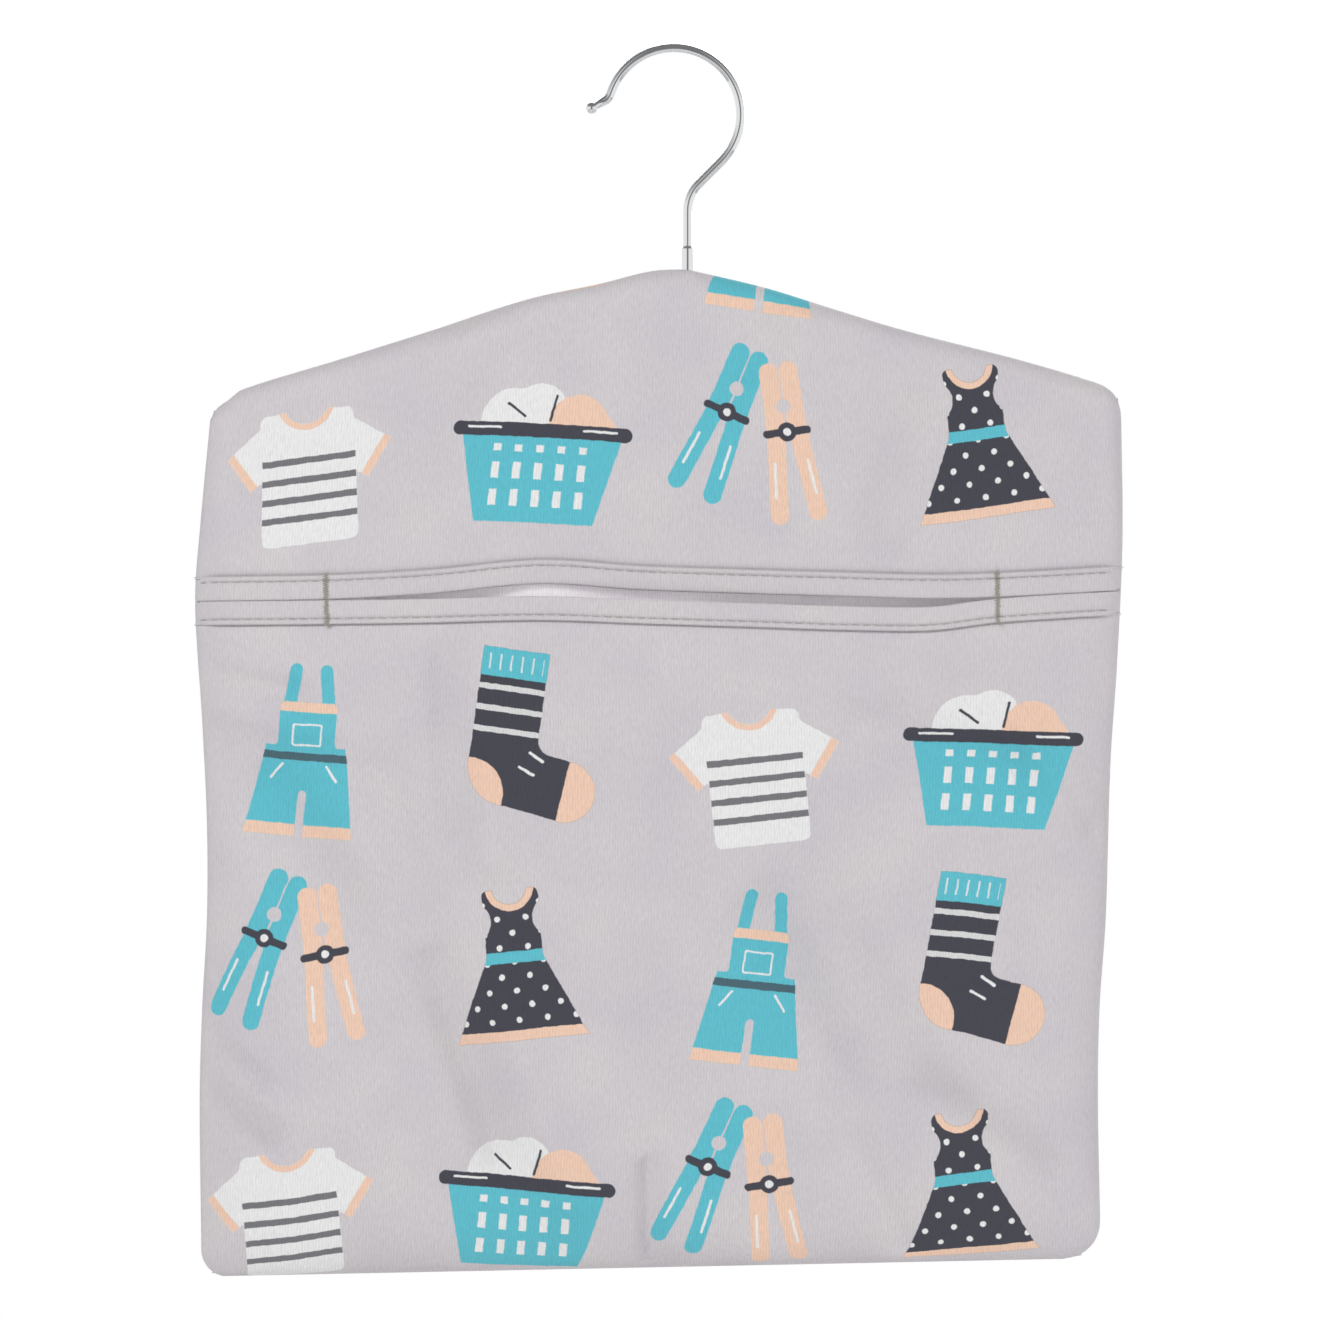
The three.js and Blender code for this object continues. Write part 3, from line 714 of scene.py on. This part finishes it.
def peg_pair(tree, cloth, place):
    for centre, turn, colour in (((-11, 1), 17, TEAL), ((12, -3), -14, PEACH)):
        local = add(tree, "VectorMath", {0: place, 1: (*centre, 0)}, operation="SUBTRACT")
        local = add(tree, "Mapping", {"Vector": local, "Rotation": (0, 0, math.radians(turn))})
        half = mirrored(tree, local)
        jaw = capsule(tree, half, (3.4, 24), (3.6, 6), 3.2)
        leg = capsule(tree, half, (3.6, 6), (6.4, -23), 3.0)
        grip = disc(tree, local, (0, 12.5), 2.4)
        cloth = ink(tree, cloth, colour, without(tree, either(tree, jaw, leg, 1.5), grip))
        cloth = ink(tree, cloth, WHITE, capsule(tree, half, (5.6, -6), (6.7, -17), 0.45))
        cloth = ink(tree, cloth, CHARCOAL, block(tree, local, (0, 4), (8.2, 1.3), 1.2))
        cloth = ink(tree, cloth, CHARCOAL, disc(tree, local, (0, 4), 3.1))
        cloth = ink(tree, cloth, WHITE, disc(tree, local, (0, 4), 1.3))
    return cloth


def basket(tree, cloth, place):
    half = mirrored(tree, place)
    folded = either(tree, disc(tree, place, (-10, 7), 11), disc(tree, place, (-1, 11), 9), 3.0)
    cloth = ink(tree, cloth, WHITE, folded)
    rolled = either(tree, disc(tree, place, (12, 7), 10), disc(tree, place, (20, 5), 5), 3.0)
    cloth = ink(tree, cloth, PEACH, rolled)
    for start, end in (((4, 16), (2.6, 8)), ((-12, 13), (-6, 9))):
        cloth = ink(tree, cloth, CHARCOAL, capsule(tree, place, start, end, 0.45))
    tub = both(tree, block(tree, place, (0, -10), (32, 16), 4), below(tree, half, (0.97, -0.24), 25.5))
    cloth = ink(tree, cloth, TEAL, tub)
    holes = both(tree, stripes(tree, place, "X", 7.2, 2.6), stripes(tree, place, "Y", 9, 5.4))
    cloth = ink(tree, cloth, WHITE, both(tree, holes, block(tree, place, (0, -11.2), (19, 10.8), 1)))
    cloth = ink(tree, cloth, CHARCOAL, capsule(tree, half, (0, 4.5), (28, 4.5), 2.3))
    return ink(tree, cloth, WHITE, capsule(tree, half, (14, 5.1), (25, 5.1), 0.4))


def dress(tree, cloth, place):
    half = mirrored(tree, place)
    bodice = block(tree, place, (0, 12), (9.5, 12), 2)
    skirt = both(tree, below(tree, half, (0.9, 0.436), 9.3), block(tree, place, (0, -12), (40, 14), 2.5))
    neck = disc(tree, place, (0, 25), 6)
    arms = disc(tree, half, (13.5, 14), 6.5)
    shape = without(tree, without(tree, either(tree, bodice, skirt, 1.0), neck), arms)
    cloth = ink(tree, cloth, CHARCOAL, shape)
    spots = add(tree, "Mapping", {"Vector": place, "Rotation": (0, 0, math.radians(45))})
    spots = add(tree, "VectorMath", {0: spots, 1: (3.4, 3.4, 1), 2: (-3.4, -3.4, -1)}, operation="WRAP")
    cloth = ink(tree, cloth, WHITE, both(tree, disc(tree, spots, (0, 0), 1.0), shape))
    cloth = ink(tree, cloth, CHARCOAL, both(tree, shape, disc(tree, place, (0, 25), 9.5)))
    cloth = ink(tree, cloth, PEACH, both(tree, shape, disc(tree, place, (0, 25), 8.2)))
    cloth = ink(tree, cloth, PEACH, both(tree, shape, below(tree, place, (0, 1), -22.6)))
    return ink(tree, cloth, TEAL, both(tree, shape, block(tree, place, (0, 1.5), (20, 1.9), 0.2)))


def dungarees(tree, cloth, place):
    half = mirrored(tree, place)
    bib = block(tree, place, (0, 8), (9.5, 9), 2)
    waist = both(tree, block(tree, place, (0, -13), (30, 15), 1.5), below(tree, half, (0.985, 0.17), 13.4))
    legs = without(tree, waist, capsule(tree, place, (0, -14), (0, -34), 1.4))
    strap = capsule(tree, half, (7, 12), (5, 28), 2.1)
    cloth = ink(tree, cloth, TEAL, either(tree, either(tree, bib, legs, 2.0), strap))
    cloth = ink(tree, cloth, PEACH, both(tree, bib, below(tree, place, (0, -1), -13.6)))
    pocket = block(tree, place, (0, 6), (5, 3.8), 0.8)
    seams = without(tree, pocket, block(tree, place, (0, 6), (4.4, 3.2), 0.6))
    seams = either(tree, seams, capsule(tree, half, (7.4, -4.2), (11, -9), 0.4))
    cloth = ink(tree, cloth, WHITE, seams)
    cloth = ink(tree, cloth, CHARCOAL, both(tree, legs, block(tree, place, (0, -1.4), (20, 1.3), 0.1)))
    return ink(tree, cloth, PEACH, both(tree, legs, below(tree, place, (0, 1), -24)))


# Two columns of motifs stand side by side, three to a column, and each next pair starts one motif lower
COLUMN_STEP, ROW_STEP = 76, 74
# Motif, centre in the repeat, degrees turned
MOTIFS = (
    (sock, (0, 3), 8),
    (basket, (3, ROW_STEP - 2), 4),
    (dress, (-2, 2 * ROW_STEP + 2), -6),
    (shirt, (COLUMN_STEP, -4), -7),
    (peg_pair, (COLUMN_STEP - 2, ROW_STEP + 4), 5),
    (dungarees, (COLUMN_STEP + 2, 2 * ROW_STEP - 3), 6),
)


def laundry_print(tree, ground, flat):
    """The repeat printed on a ground, its outlines a little uneven as ink on twill is."""
    wobble = add(tree, "TexNoise", {"Vector": flat, "Scale": 1 / 2.6, "Detail": 1.0})
    wobble = add(tree, "VectorMath", {0: wobble.outputs["Color"], 1: (0.5, 0.5, 0.5)}, operation="SUBTRACT")
    wobble = add(tree, "VectorMath", {0: wobble, "Scale": 0.6}, operation="SCALE")
    flat = add(tree, "VectorMath", {0: flat, 1: wobble}, operation="ADD")
    wide, high = 2 * COLUMN_STEP, 3 * ROW_STEP
    for motif, centre, turn in MOTIFS:
        place = add(tree, "VectorMath", {0: flat, 1: (*centre, 0)}, operation="SUBTRACT")
        parts = add(tree, "SeparateXYZ", {0: place})
        pair = add(tree, "Math", {0: parts.outputs["X"], 1: wide}, operation="DIVIDE")
        pair = add(tree, "Math", {0: pair}, operation="ROUND")
        drop = add(tree, "Math", {0: pair, 1: ROW_STEP, 2: parts.outputs["Y"]}, operation="MULTIPLY_ADD")
        across = add(tree, "Math", {0: pair, 1: -wide, 2: parts.outputs["X"]}, operation="MULTIPLY_ADD")
        along = add(tree, "Math", {0: drop, 1: high / 2, 2: -high / 2}, operation="WRAP")
        place = add(tree, "CombineXYZ", {"X": across, "Y": along})
        place = add(tree, "Mapping", {"Vector": place, "Rotation": (0, 0, math.radians(turn))})
        ground = motif(tree, ground, place)
    return ground


# ---- Materials ----


def cotton_twill(name, tones, printed=False, glow=0.0):
    """Brushed cotton twill: matt, with fine ribs that run up the cloth, slubs in the yarn, painted shade
    between the ribs and a soft bloom.

    The glow is light that comes through from the other side.
    """
    material, tree = new_material(name)
    flat = add(tree, "UVMap", {}, uv_map="cloth")
    mottle = add(tree, "TexNoise", {"Vector": flat, "Scale": 1 / 34, "Detail": 2.0})
    mottle = add(tree, "MapRange", {"Value": mottle, "From Min": 0.3, "From Max": 0.7})
    colour = blend(tree, mottle, linear(tones[0]), linear(tones[1]))
    if printed:
        colour = laundry_print(tree, colour, flat)
    # The ribs are 0.5 mm apart and drawn at 0.95, so that they show. At scale 1 a wave repeats every 0.314
    ribs = add(
        tree,
        "TexWave",
        {"Vector": flat, "Scale": 0.314 / 0.95, "Distortion": 5.0, "Detail": 2.0, "Detail Scale": 0.9},
        bands_direction="X",
    )
    # Yarns 0.4 mm thick, drawn at 0.8, that show for about 2.5 mm before they dive, leaning either way
    weave = add(tree, "Math", {0: ribs, 1: 0.22}, operation="MULTIPLY")
    for lean in (24, -20):
        turn, scale = (0, 0, math.radians(lean)), (1 / 0.8, 1 / 2.5, 1)
        yarn = add(tree, "Mapping", {"Vector": flat, "Rotation": turn, "Scale": scale})
        yarn = add(tree, "TexNoise", {"Vector": yarn, "Scale": 1.0, "Detail": 2.0, "Roughness": 0.6})
        weave = add(tree, "Math", {0: yarn, 1: 0.5, 2: weave}, operation="MULTIPLY_ADD")
    # The colour follows the weave's height, darker where it lies low and lighter where it stands high: painted
    # shade and light between the ribs and yarns, together with the slubs' own uneven tone
    weave_shade_range = {"Value": weave, "From Min": 0.31, "From Max": 0.91, "To Min": 0.88, "To Max": 1.12}
    painted_weave_shade = add(tree, "MapRange", weave_shade_range)
    colour = add(tree, "VectorMath", {0: colour, "Scale": painted_weave_shade}, operation="SCALE")
    bump = add(tree, "Bump", {"Height": weave, "Strength": 0.35, "Distance": 0.15 * MM})
    surface(
        tree,
        Base_Color=colour,
        Normal=bump,
        Roughness=0.88,
        Sheen_Weight=0.06,
        Sheen_Roughness=0.5,
        Subsurface_Weight=glow,
        Subsurface_Radius=(1, 1, 1),
        Subsurface_Scale=2 * MM,
    )
    return material


def sewing_thread(name, tones):
    """Spun polyester thread: a low sheen, the twist of its plies (0.4 mm, drawn at 0.8) and uneven dye."""
    material, tree = new_material(name)
    at = add(tree, "TexCoord", {}).outputs["Object"]
    plies = add(tree, "TexNoise", {"Vector": at, "Scale": 1 / (0.8 * MM), "Detail": 2.0})
    colour = blend(tree, plies, linear(tones[0]), linear(tones[1]))
    bump = add(tree, "Bump", {"Height": plies, "Strength": 0.5, "Distance": 0.1 * MM})
    surface(tree, Base_Color=colour, Normal=bump, Roughness=0.6, Sheen_Weight=0.1)
    return material


def metal(name, tone, roughness, streak, grain):
    """Plated metal: colour in its reflections, broken by fine marks of drawing or turning, streak long."""
    material, tree = new_material(name)
    at = add(tree, "TexCoord", {}).outputs["Object"]
    at = add(tree, "Mapping", {"Vector": at, "Scale": [1 / (s * MM) for s in streak]})
    marks = add(tree, "TexNoise", {"Vector": at, "Scale": 1.0, "Detail": 3.0})
    rough = add(tree, "MapRange", {"Value": marks, "To Min": roughness - grain, "To Max": roughness + grain})
    bump = add(tree, "Bump", {"Height": marks, "Strength": grain, "Distance": 0.02 * MM})
    surface(tree, Base_Color=linear(tone), Metallic=1.0, Roughness=rough, Normal=bump)
    return material


def planed_beech(name):
    """Beech, planed and sanded: warm pale wood, growth rings 3 mm apart along the board, short dark rays."""
    material, tree = new_material(name)
    at = add(tree, "TexCoord", {}).outputs["Object"]
    grain = add(tree, "Mapping", {"Vector": at, "Scale": [1 / (s * MM) for s in (90, 3, 3)]})
    grain = add(tree, "TexNoise", {"Vector": grain, "Scale": 1.0, "Detail": 4.0, "Distortion": 0.6})
    rays = add(tree, "Mapping", {"Vector": at, "Scale": [1 / (s * MM) for s in (5, 0.8, 0.5)]})
    rays = add(tree, "TexNoise", {"Vector": rays, "Scale": 1.0, "Detail": 1.0})
    rays = add(tree, "MapRange", {"Value": rays, "From Min": 0.62, "From Max": 0.72})
    colour = blend(tree, grain, linear("#d9b58a"), linear("#c39a6c"))
    colour = blend(tree, rays, colour, linear("#a97f55"))
    bump = add(tree, "Bump", {"Height": grain, "Strength": 0.2, "Distance": 0.2 * MM})
    surface(tree, Base_Color=colour, Normal=bump, Roughness=0.55)
    return material


def overlocked_cotton(name):
    """Seam allowances bound with white thread: close bars 2 mm apart that run over the raw edges."""
    material, tree = new_material(name)
    at = add(tree, "TexCoord", {}).outputs["Object"]
    yarn = add(tree, "TexNoise", {"Vector": at, "Scale": 1 / (2 * MM), "Detail": 3.0})
    colour = blend(tree, yarn, linear("#d6d3d1"), linear("#efedeb"))
    bump = add(tree, "Bump", {"Height": yarn, "Strength": 0.6, "Distance": 0.4 * MM})
    surface(tree, Base_Color=colour, Normal=bump, Roughness=0.9, Sheen_Weight=0.1)
    return material


printed_cotton = cotton_twill("printed cotton twill", ("#d0cbcd", "#c9c4ca"), printed=True)
plain_cotton = cotton_twill("plain cotton twill", ("#cfcacc", "#cac5ca"))
cotton_reverse = cotton_twill("reverse of cotton twill", ("#f5edf4", "#efe5ee"), glow=0.85)
grey_thread = sewing_thread("grey polyester thread", ("#9d9894", "#bdb8b5"))
tan_thread = sewing_thread("tan polyester thread", ("#8b867c", "#b0aaa0"))
chrome_wire = metal("chrome plated steel wire", "#e0e2e4", 0.1, (1.2, 1.2, 9), 0.04)
turned_steel = metal("zinc plated turned steel", "#b9bbbd", 0.34, (0.6, 0.6, 0.3), 0.1)
beech = planed_beech("planed beech")
bound_seam = overlocked_cotton("overlocked cotton seam")


# ---- Cloth pieces ----

upper_rows = front_rows(UPPER_ROWS)
lower_rows = list(reversed(front_rows(LOWER_ROWS)))
back_rows = seam_to_seam(BACK_ROWS)


def hem_span(rows):
    """The rows of the hem and its crease, which carry no print."""
    return [n for n, (share, beyond, *_) in enumerate(rows) if share == 0 and beyond <= PLAIN_BAND]


front_upper = cloth_panel(
    "front_upper_cloth",
    upper_rows,
    lambda column, row: front_point(column, row, UPPER_LIP, top_edge, 1),
    LIP_ROW,
    (44, 22),
    hem_span(upper_rows),
    True,
    "front_upper_panel",
)
front_lower = cloth_panel(
    "front_lower_cloth",
    lower_rows,
    lambda column, row: front_point(column, row, LOWER_LIP, bottom_edge, -1),
    len(lower_rows) - 1 - LIP_ROW,
    (44, 50),
    hem_span(lower_rows),
    True,
    "front_lower_panel",
)
back = cloth_panel("back_cloth", back_rows, back_point, 0, (20, 31), [], False, "back_panel")


# ---- Stitching ----

STITCH_PITCH, STITCH_LONG, STITCH_THICK = 3.7, 2.9, 0.5
STITCH_FROM_SIDE = 3
STITCH_LIFT, TACK_LIFT = 0.1, 0.12  # of the thread's middle above the cloth
TACK_STITCHES, TACK_HALF = 46, 8.4  # stitches in a bar tack, and half its height
TACK_WIDE, TACK_THICK, TACK_TILT = (1.5, 2.3), 0.42, (0.1, 0.4)
TACK_STRAY, TACK_WAVER, TACK_LEAN = 0.2, 0.3, 0.02


def thread_bit(mesh, centre, along, length, thick):
    """One short stitch that lies along a direction."""
    turn = along.to_track_quat("X", "Z").to_matrix().to_4x4()
    shape = Matrix.Diagonal((length / 2, thick / 2, thick / 2, 1))
    bmesh.ops.create_uvsphere(
        mesh, u_segments=8, v_segments=5, radius=1, matrix=Matrix.Translation(centre) @ turn @ shape
    )


def stitch_point(x, lip, up):
    z = through(lip, x) + up * STITCH_IN
    return Vector((x, -front_depth(x, z, lip, up) - hem_height(STITCH_IN) - STITCH_LIFT, z))


def hem_stitching(name, lip, up):
    mesh = bmesh.new()
    x = left_side(lip[0][1]) + STITCH_FROM_SIDE
    while x < right_side(lip[-1][1]) - STITCH_FROM_SIDE:
        centre = stitch_point(x, lip, up)
        along = stitch_point(x + 1, lip, up) - stitch_point(x - 1, lip, up)
        thread_bit(mesh, centre, along, STITCH_LONG, STITCH_THICK)
        x += STITCH_PITCH
    return finished(name, mesh, (grey_thread,), "bag")


def bar_tack(name, x, node):
    """Close zigzag stitches across both hems, where the mouth ends."""
    draw = random.Random(round(x))
    mesh = bmesh.new()
    for n in range(TACK_STITCHES):
        from_lip = mix(-TACK_HALF, TACK_HALF, n / (TACK_STITCHES - 1))
        lip, up = (UPPER_LIP, 1) if from_lip > 0 else (LOWER_LIP, -1)
        waver = TACK_WAVER * noise.noise(Vector((x, from_lip / 4, 6)))
        at = x + draw.uniform(-TACK_STRAY, TACK_STRAY) + waver - TACK_LEAN * from_lip
        z = through(lip, at) + from_lip
        face = max(abs(from_lip), LIP_ROLL)
        y = -front_depth(at, through(lip, at) + up * face, lip, up) - hem_height(face)
        tilt = draw.uniform(*TACK_TILT) * (1 if n % 2 else -1)
        centre = Vector((at, y - TACK_LIFT, z))
        thread_bit(mesh, centre, Vector((1, 0, tilt)), draw.uniform(*TACK_WIDE), TACK_THICK)
    return finished(name, mesh, (tan_thread,), "bag", (node,))


upper_stitching = hem_stitching("front_upper_stitching", UPPER_LIP, 1)
lower_stitching = hem_stitching("front_lower_stitching", LOWER_LIP, -1)
bar_tack("left_bar_tack_thread", TACK_XS[0], "left_bar_tack")
bar_tack("right_bar_tack_thread", TACK_XS[1], "right_bar_tack")


# ---- Hook ----

WIRE = 2.9
CROOK_R = 22
CROOK_FROM, CROOK_TO = 162, -45  # degrees round the crook, from the tip to the neck
TIP_BEND_R, TIP_TURN, TIP_LENGTH = 4, 43, 5.0
BALL = 3.8
TIP_WIRE = 2.3  # the wire is drawn in behind the ball
NECK_BEND_R = 12.5
SHANK = 3.8
SHANK_SHOWS = 7.5
HEAD, HEAD_THICK, HEAD_TOP_Z = 7, 1.8, -99.5
WIRE_SIDES = 24
BEND_STEP = 5  # degrees between rings in a bend


def rim_of(geometry):
    verts = [g for g in geometry if isinstance(g, bmesh.types.BMVert)]
    edges = [g for g in geometry if isinstance(g, bmesh.types.BMEdge) and all(v in verts for v in g.verts)]
    return verts, edges


def draw_out(mesh, rim, run, widen=1.0):
    """Lengthen a tube from its open rim, which ends widen times as wide."""
    verts, edges = rim_of(bmesh.ops.extrude_edge_only(mesh, edges=rim[1])["geom"])
    bmesh.ops.translate(mesh, vec=run, verts=verts)
    middle = sum((v.co for v in verts), Vector()) / len(verts)
    bmesh.ops.scale(mesh, vec=(widen,) * 3, space=Matrix.Translation(-middle), verts=verts)
    return verts, edges


def bend(mesh, rim, centre, degrees):
    """Bend a tube on from its open rim, clockwise seen from the front."""
    steps = max(6, round(abs(degrees) / BEND_STEP))
    last = bmesh.ops.spin(
        mesh,
        geom=rim[0] + rim[1],
        cent=centre,
        axis=(0, 1, 0),
        angle=math.radians(degrees),
        steps=steps,
        use_merge=False,
        use_duplicate=False,
    )["geom_last"]
    return rim_of(last)


def polar(centre, radius, degrees):
    turn = math.radians(degrees)
    return centre + radius * Vector((math.cos(turn), 0, math.sin(turn)))


def wire_hook():
    """One wire: a ball at the tip, the crook, the neck, then a thicker shank that ends in a flat head."""
    crook = Vector((0, 0, WIRE / 2 - CROOK_R))
    tip_bend = polar(crook, CROOK_R + TIP_BEND_R, CROOK_FROM)
    tip_from = CROOK_FROM - 180 - TIP_TURN
    heading = polar(Vector(), 1, tip_from + 90)
    ball = polar(tip_bend, TIP_BEND_R, tip_from) - TIP_LENGTH * heading
    mesh = bmesh.new()

    ball_r, angles = BALL / 2, list(range(15, 136, 15))
    angles.append(180 - math.degrees(math.asin(TIP_WIRE / BALL)))
    rings = [(-ball_r * math.cos(math.radians(a)), ball_r * math.sin(math.radians(a))) for a in angles]
    start = ball + heading * rings[0][0]
    facing = heading.to_track_quat("Z", "Y").to_matrix().to_4x4()
    bmesh.ops.create_circle(
        mesh,
        cap_ends=True,
        segments=WIRE_SIDES,
        radius=rings[0][1],
        matrix=Matrix.Translation(start) @ facing,
    )
    rim = list(mesh.verts), list(mesh.edges)
    for (at, wide), (next_at, next_wide) in zip(rings, rings[1:]):
        rim = draw_out(mesh, rim, heading * (next_at - at), next_wide / wide)
    rim = draw_out(mesh, rim, heading * (TIP_LENGTH - rings[-1][0]), WIRE / TIP_WIRE)
    rim = bend(mesh, rim, tip_bend, -TIP_TURN)
    rim = bend(mesh, rim, crook, CROOK_FROM - CROOK_TO)

    crook_end = polar(crook, CROOK_R, CROOK_TO)
    lean = math.radians(CROOK_TO)
    neck_run = (crook_end.x - NECK_BEND_R * (1 - math.cos(lean)) - STEM_X) / -math.sin(lean)
    neck_start = polar(crook_end, neck_run, CROOK_TO - 90)
    neck_bend = polar(neck_start, NECK_BEND_R, CROOK_TO)
    rim = draw_out(mesh, rim, neck_start - crook_end)
    rim = bend(mesh, rim, neck_bend, CROOK_TO)

    # (height, width) down the stem; close rings keep the shoulder and the head crisp
    step = top_edge(STEM_X) + SHANK_SHOWS
    stem = (
        (neck_bend.z, WIRE),
        (step + 0.8, WIRE),
        (step + 0.3, WIRE),
        (step, SHANK - 0.4),
        (step - 0.2, SHANK),
        (step - 0.6, SHANK),
        (HEAD_TOP_Z + 0.4, SHANK),
        (HEAD_TOP_Z, SHANK),
        (HEAD_TOP_Z, HEAD),
        (HEAD_TOP_Z - HEAD_THICK + 0.3, HEAD),
        (HEAD_TOP_Z - HEAD_THICK, HEAD - 0.6),
    )
    for (at, wide), (next_at, next_wide) in zip(stem, stem[1:]):
        rim = draw_out(mesh, rim, Vector((0, 0, next_at - at)), next_wide / wide)
    bmesh.ops.contextual_create(mesh, geom=rim[1])
    bmesh.ops.recalc_face_normals(mesh, faces=mesh.faces)
    return finished("wire_hook", mesh, (chrome_wire,), "hook", ("hook",))


wire_hook()


# ---- Solids that keep their shape ----

for node, material in (
    ("hook_washer", turned_steel),
    ("hook_bush", turned_steel),
    ("hanger", beech),
    ("left_side_seam", bound_seam),
    ("right_side_seam", bound_seam),
    ("bottom_seam", bound_seam),
):
    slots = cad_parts[node].data.materials
    if not len(slots):
        slots.append(material)
    for n in range(len(slots)):
        slots[n] = material


# ---- Studio ----

scene = bpy.context.scene
scene.view_settings.view_transform = "Standard"

VIEW_CENTRE = Vector((-4.785, 0, -200.4)) * MM
VIEW_WIDTH = 435.27 * MM
VIEW_DISTANCE = 2.6
AMBIENT = 0.4  # of the world on cloth and wood
DARK_ROOM = 0.22  # of the room that metal reflects
lens = bpy.data.cameras.new("camera")
lens.lens = lens.sensor_width * VIEW_DISTANCE / VIEW_WIDTH
camera = bpy.data.objects.new("camera", lens)
camera.location = VIEW_CENTRE - Vector((0, VIEW_DISTANCE, 0))
camera.rotation_euler = (math.radians(90), 0, 0)
scene.collection.objects.link(camera)
scene.camera = camera

world = bpy.data.worlds.new("white studio")
scene.world = world
world.use_nodes = True
tree = world.node_tree
tree.nodes.clear()
path = add(tree, "LightPath", {})
seen = path.outputs["Is Camera Ray"]
for ray in ("Is Glossy Ray", "Is Transmission Ray"):
    seen = add(tree, "Math", {0: seen, 1: path.outputs[ray]}, operation="MAXIMUM")
# Metal sees the dark room behind the camera and overhead as a tall strip between the studio's white sides
towards = add(tree, "SeparateXYZ", {0: add(tree, "TexCoord", {}).outputs["Generated"]})
aside = add(tree, "Math", {0: towards.outputs["X"]}, operation="ABSOLUTE")
aside = add(
    tree, "MapRange", {"Value": aside, "From Min": 0.14, "From Max": 0.46}, interpolation_type="SMOOTHSTEP"
)
behind = towards.outputs["Y"]
behind = add(
    tree, "MapRange", {"Value": behind, "From Min": -0.35, "From Max": 0.1}, interpolation_type="SMOOTHSTEP"
)
level = add(tree, "MapRange", {"Value": towards.outputs["Z"], "From Min": 0.7, "From Max": 0.2})
bright = add(tree, "Math", {0: aside, 1: behind}, operation="MAXIMUM")
bright = add(tree, "Math", {0: bright, 1: level}, operation="MINIMUM")
room = add(tree, "MapRange", {"Value": bright, "To Min": DARK_ROOM, "To Max": 1.0})
metal_sees = add(tree, "Mix", {"Factor": path.outputs["Is Glossy Ray"], "A": 1.0, "B": room})
strength = add(tree, "Mix", {"Factor": seen, "A": AMBIENT, "B": metal_sees})
sky = add(tree, "Background", {"Color": linear("#ffffff"), "Strength": strength})
add(tree, "OutputWorld", {"Surface": sky})

# name, place, width, watts, reflected in metal
for name, place, width, watts, reflected in (
    ("key", (-1.6, -1.9, 1.0), 0.8, 34, False),
    ("front", (-0.1, -2.9, -0.3), 1.2, 7, False),
    ("fill", (2.5, -1.1, 0.0), 1.4, 25, False),
    ("rear", (0.5, 2.2, 0.8), 1.6, 40, True),
):
    lamp = bpy.data.lights.new(name, "AREA")
    lamp.size, lamp.energy = width, watts
    light = bpy.data.objects.new(name, lamp)
    light.location = place
    light.rotation_euler = (VIEW_CENTRE - light.location).to_track_quat("-Z", "Y").to_euler()
    light.visible_glossy = reflected
    scene.collection.objects.link(light)

FLOOR_Z = -1.6  # under a line at arm's reach
FLOOR_HALF = 3
FLOOR_FADE = (0.8, 2.8)  # how far from its middle it runs out into white
floor_mesh = bmesh.new()
under = Matrix.Translation((0, 0, FLOOR_Z))
bmesh.ops.create_grid(floor_mesh, x_segments=1, y_segments=1, size=FLOOR_HALF, matrix=under)
floor_data = bpy.data.meshes.new("floor")
floor_mesh.to_mesh(floor_data)
floor_mesh.free()
floor_paint, tree = new_material("white studio floor")
paint = add(tree, "BsdfPrincipled", {"Base Color": linear("#f4f4f4"), "Roughness": 0.9})
# The camera sees the floor run out into the white background
at = add(tree, "TexCoord", {}).outputs["Object"]
away = add(tree, "VectorMath", {0: at, 1: (0, 0, FLOOR_Z)}, operation="DISTANCE")
away = add(
    tree,
    "MapRange",
    {"Value": away, "From Min": FLOOR_FADE[0], "From Max": FLOOR_FADE[1]},
    interpolation_type="SMOOTHSTEP",
)
to_camera = add(tree, "LightPath", {}).outputs["Is Camera Ray"]
away = add(tree, "Math", {0: away, 1: to_camera}, operation="MULTIPLY")
white = add(tree, "Emission", {"Color": linear("#ffffff"), "Strength": 1.0})
add(tree, "OutputMaterial", {"Surface": add(tree, "MixShader", {0: away, 1: paint, 2: white})})
floor_data.materials.append(floor_paint)
floor = bpy.data.objects.new("floor", floor_data)
scene.collection.objects.link(floor)
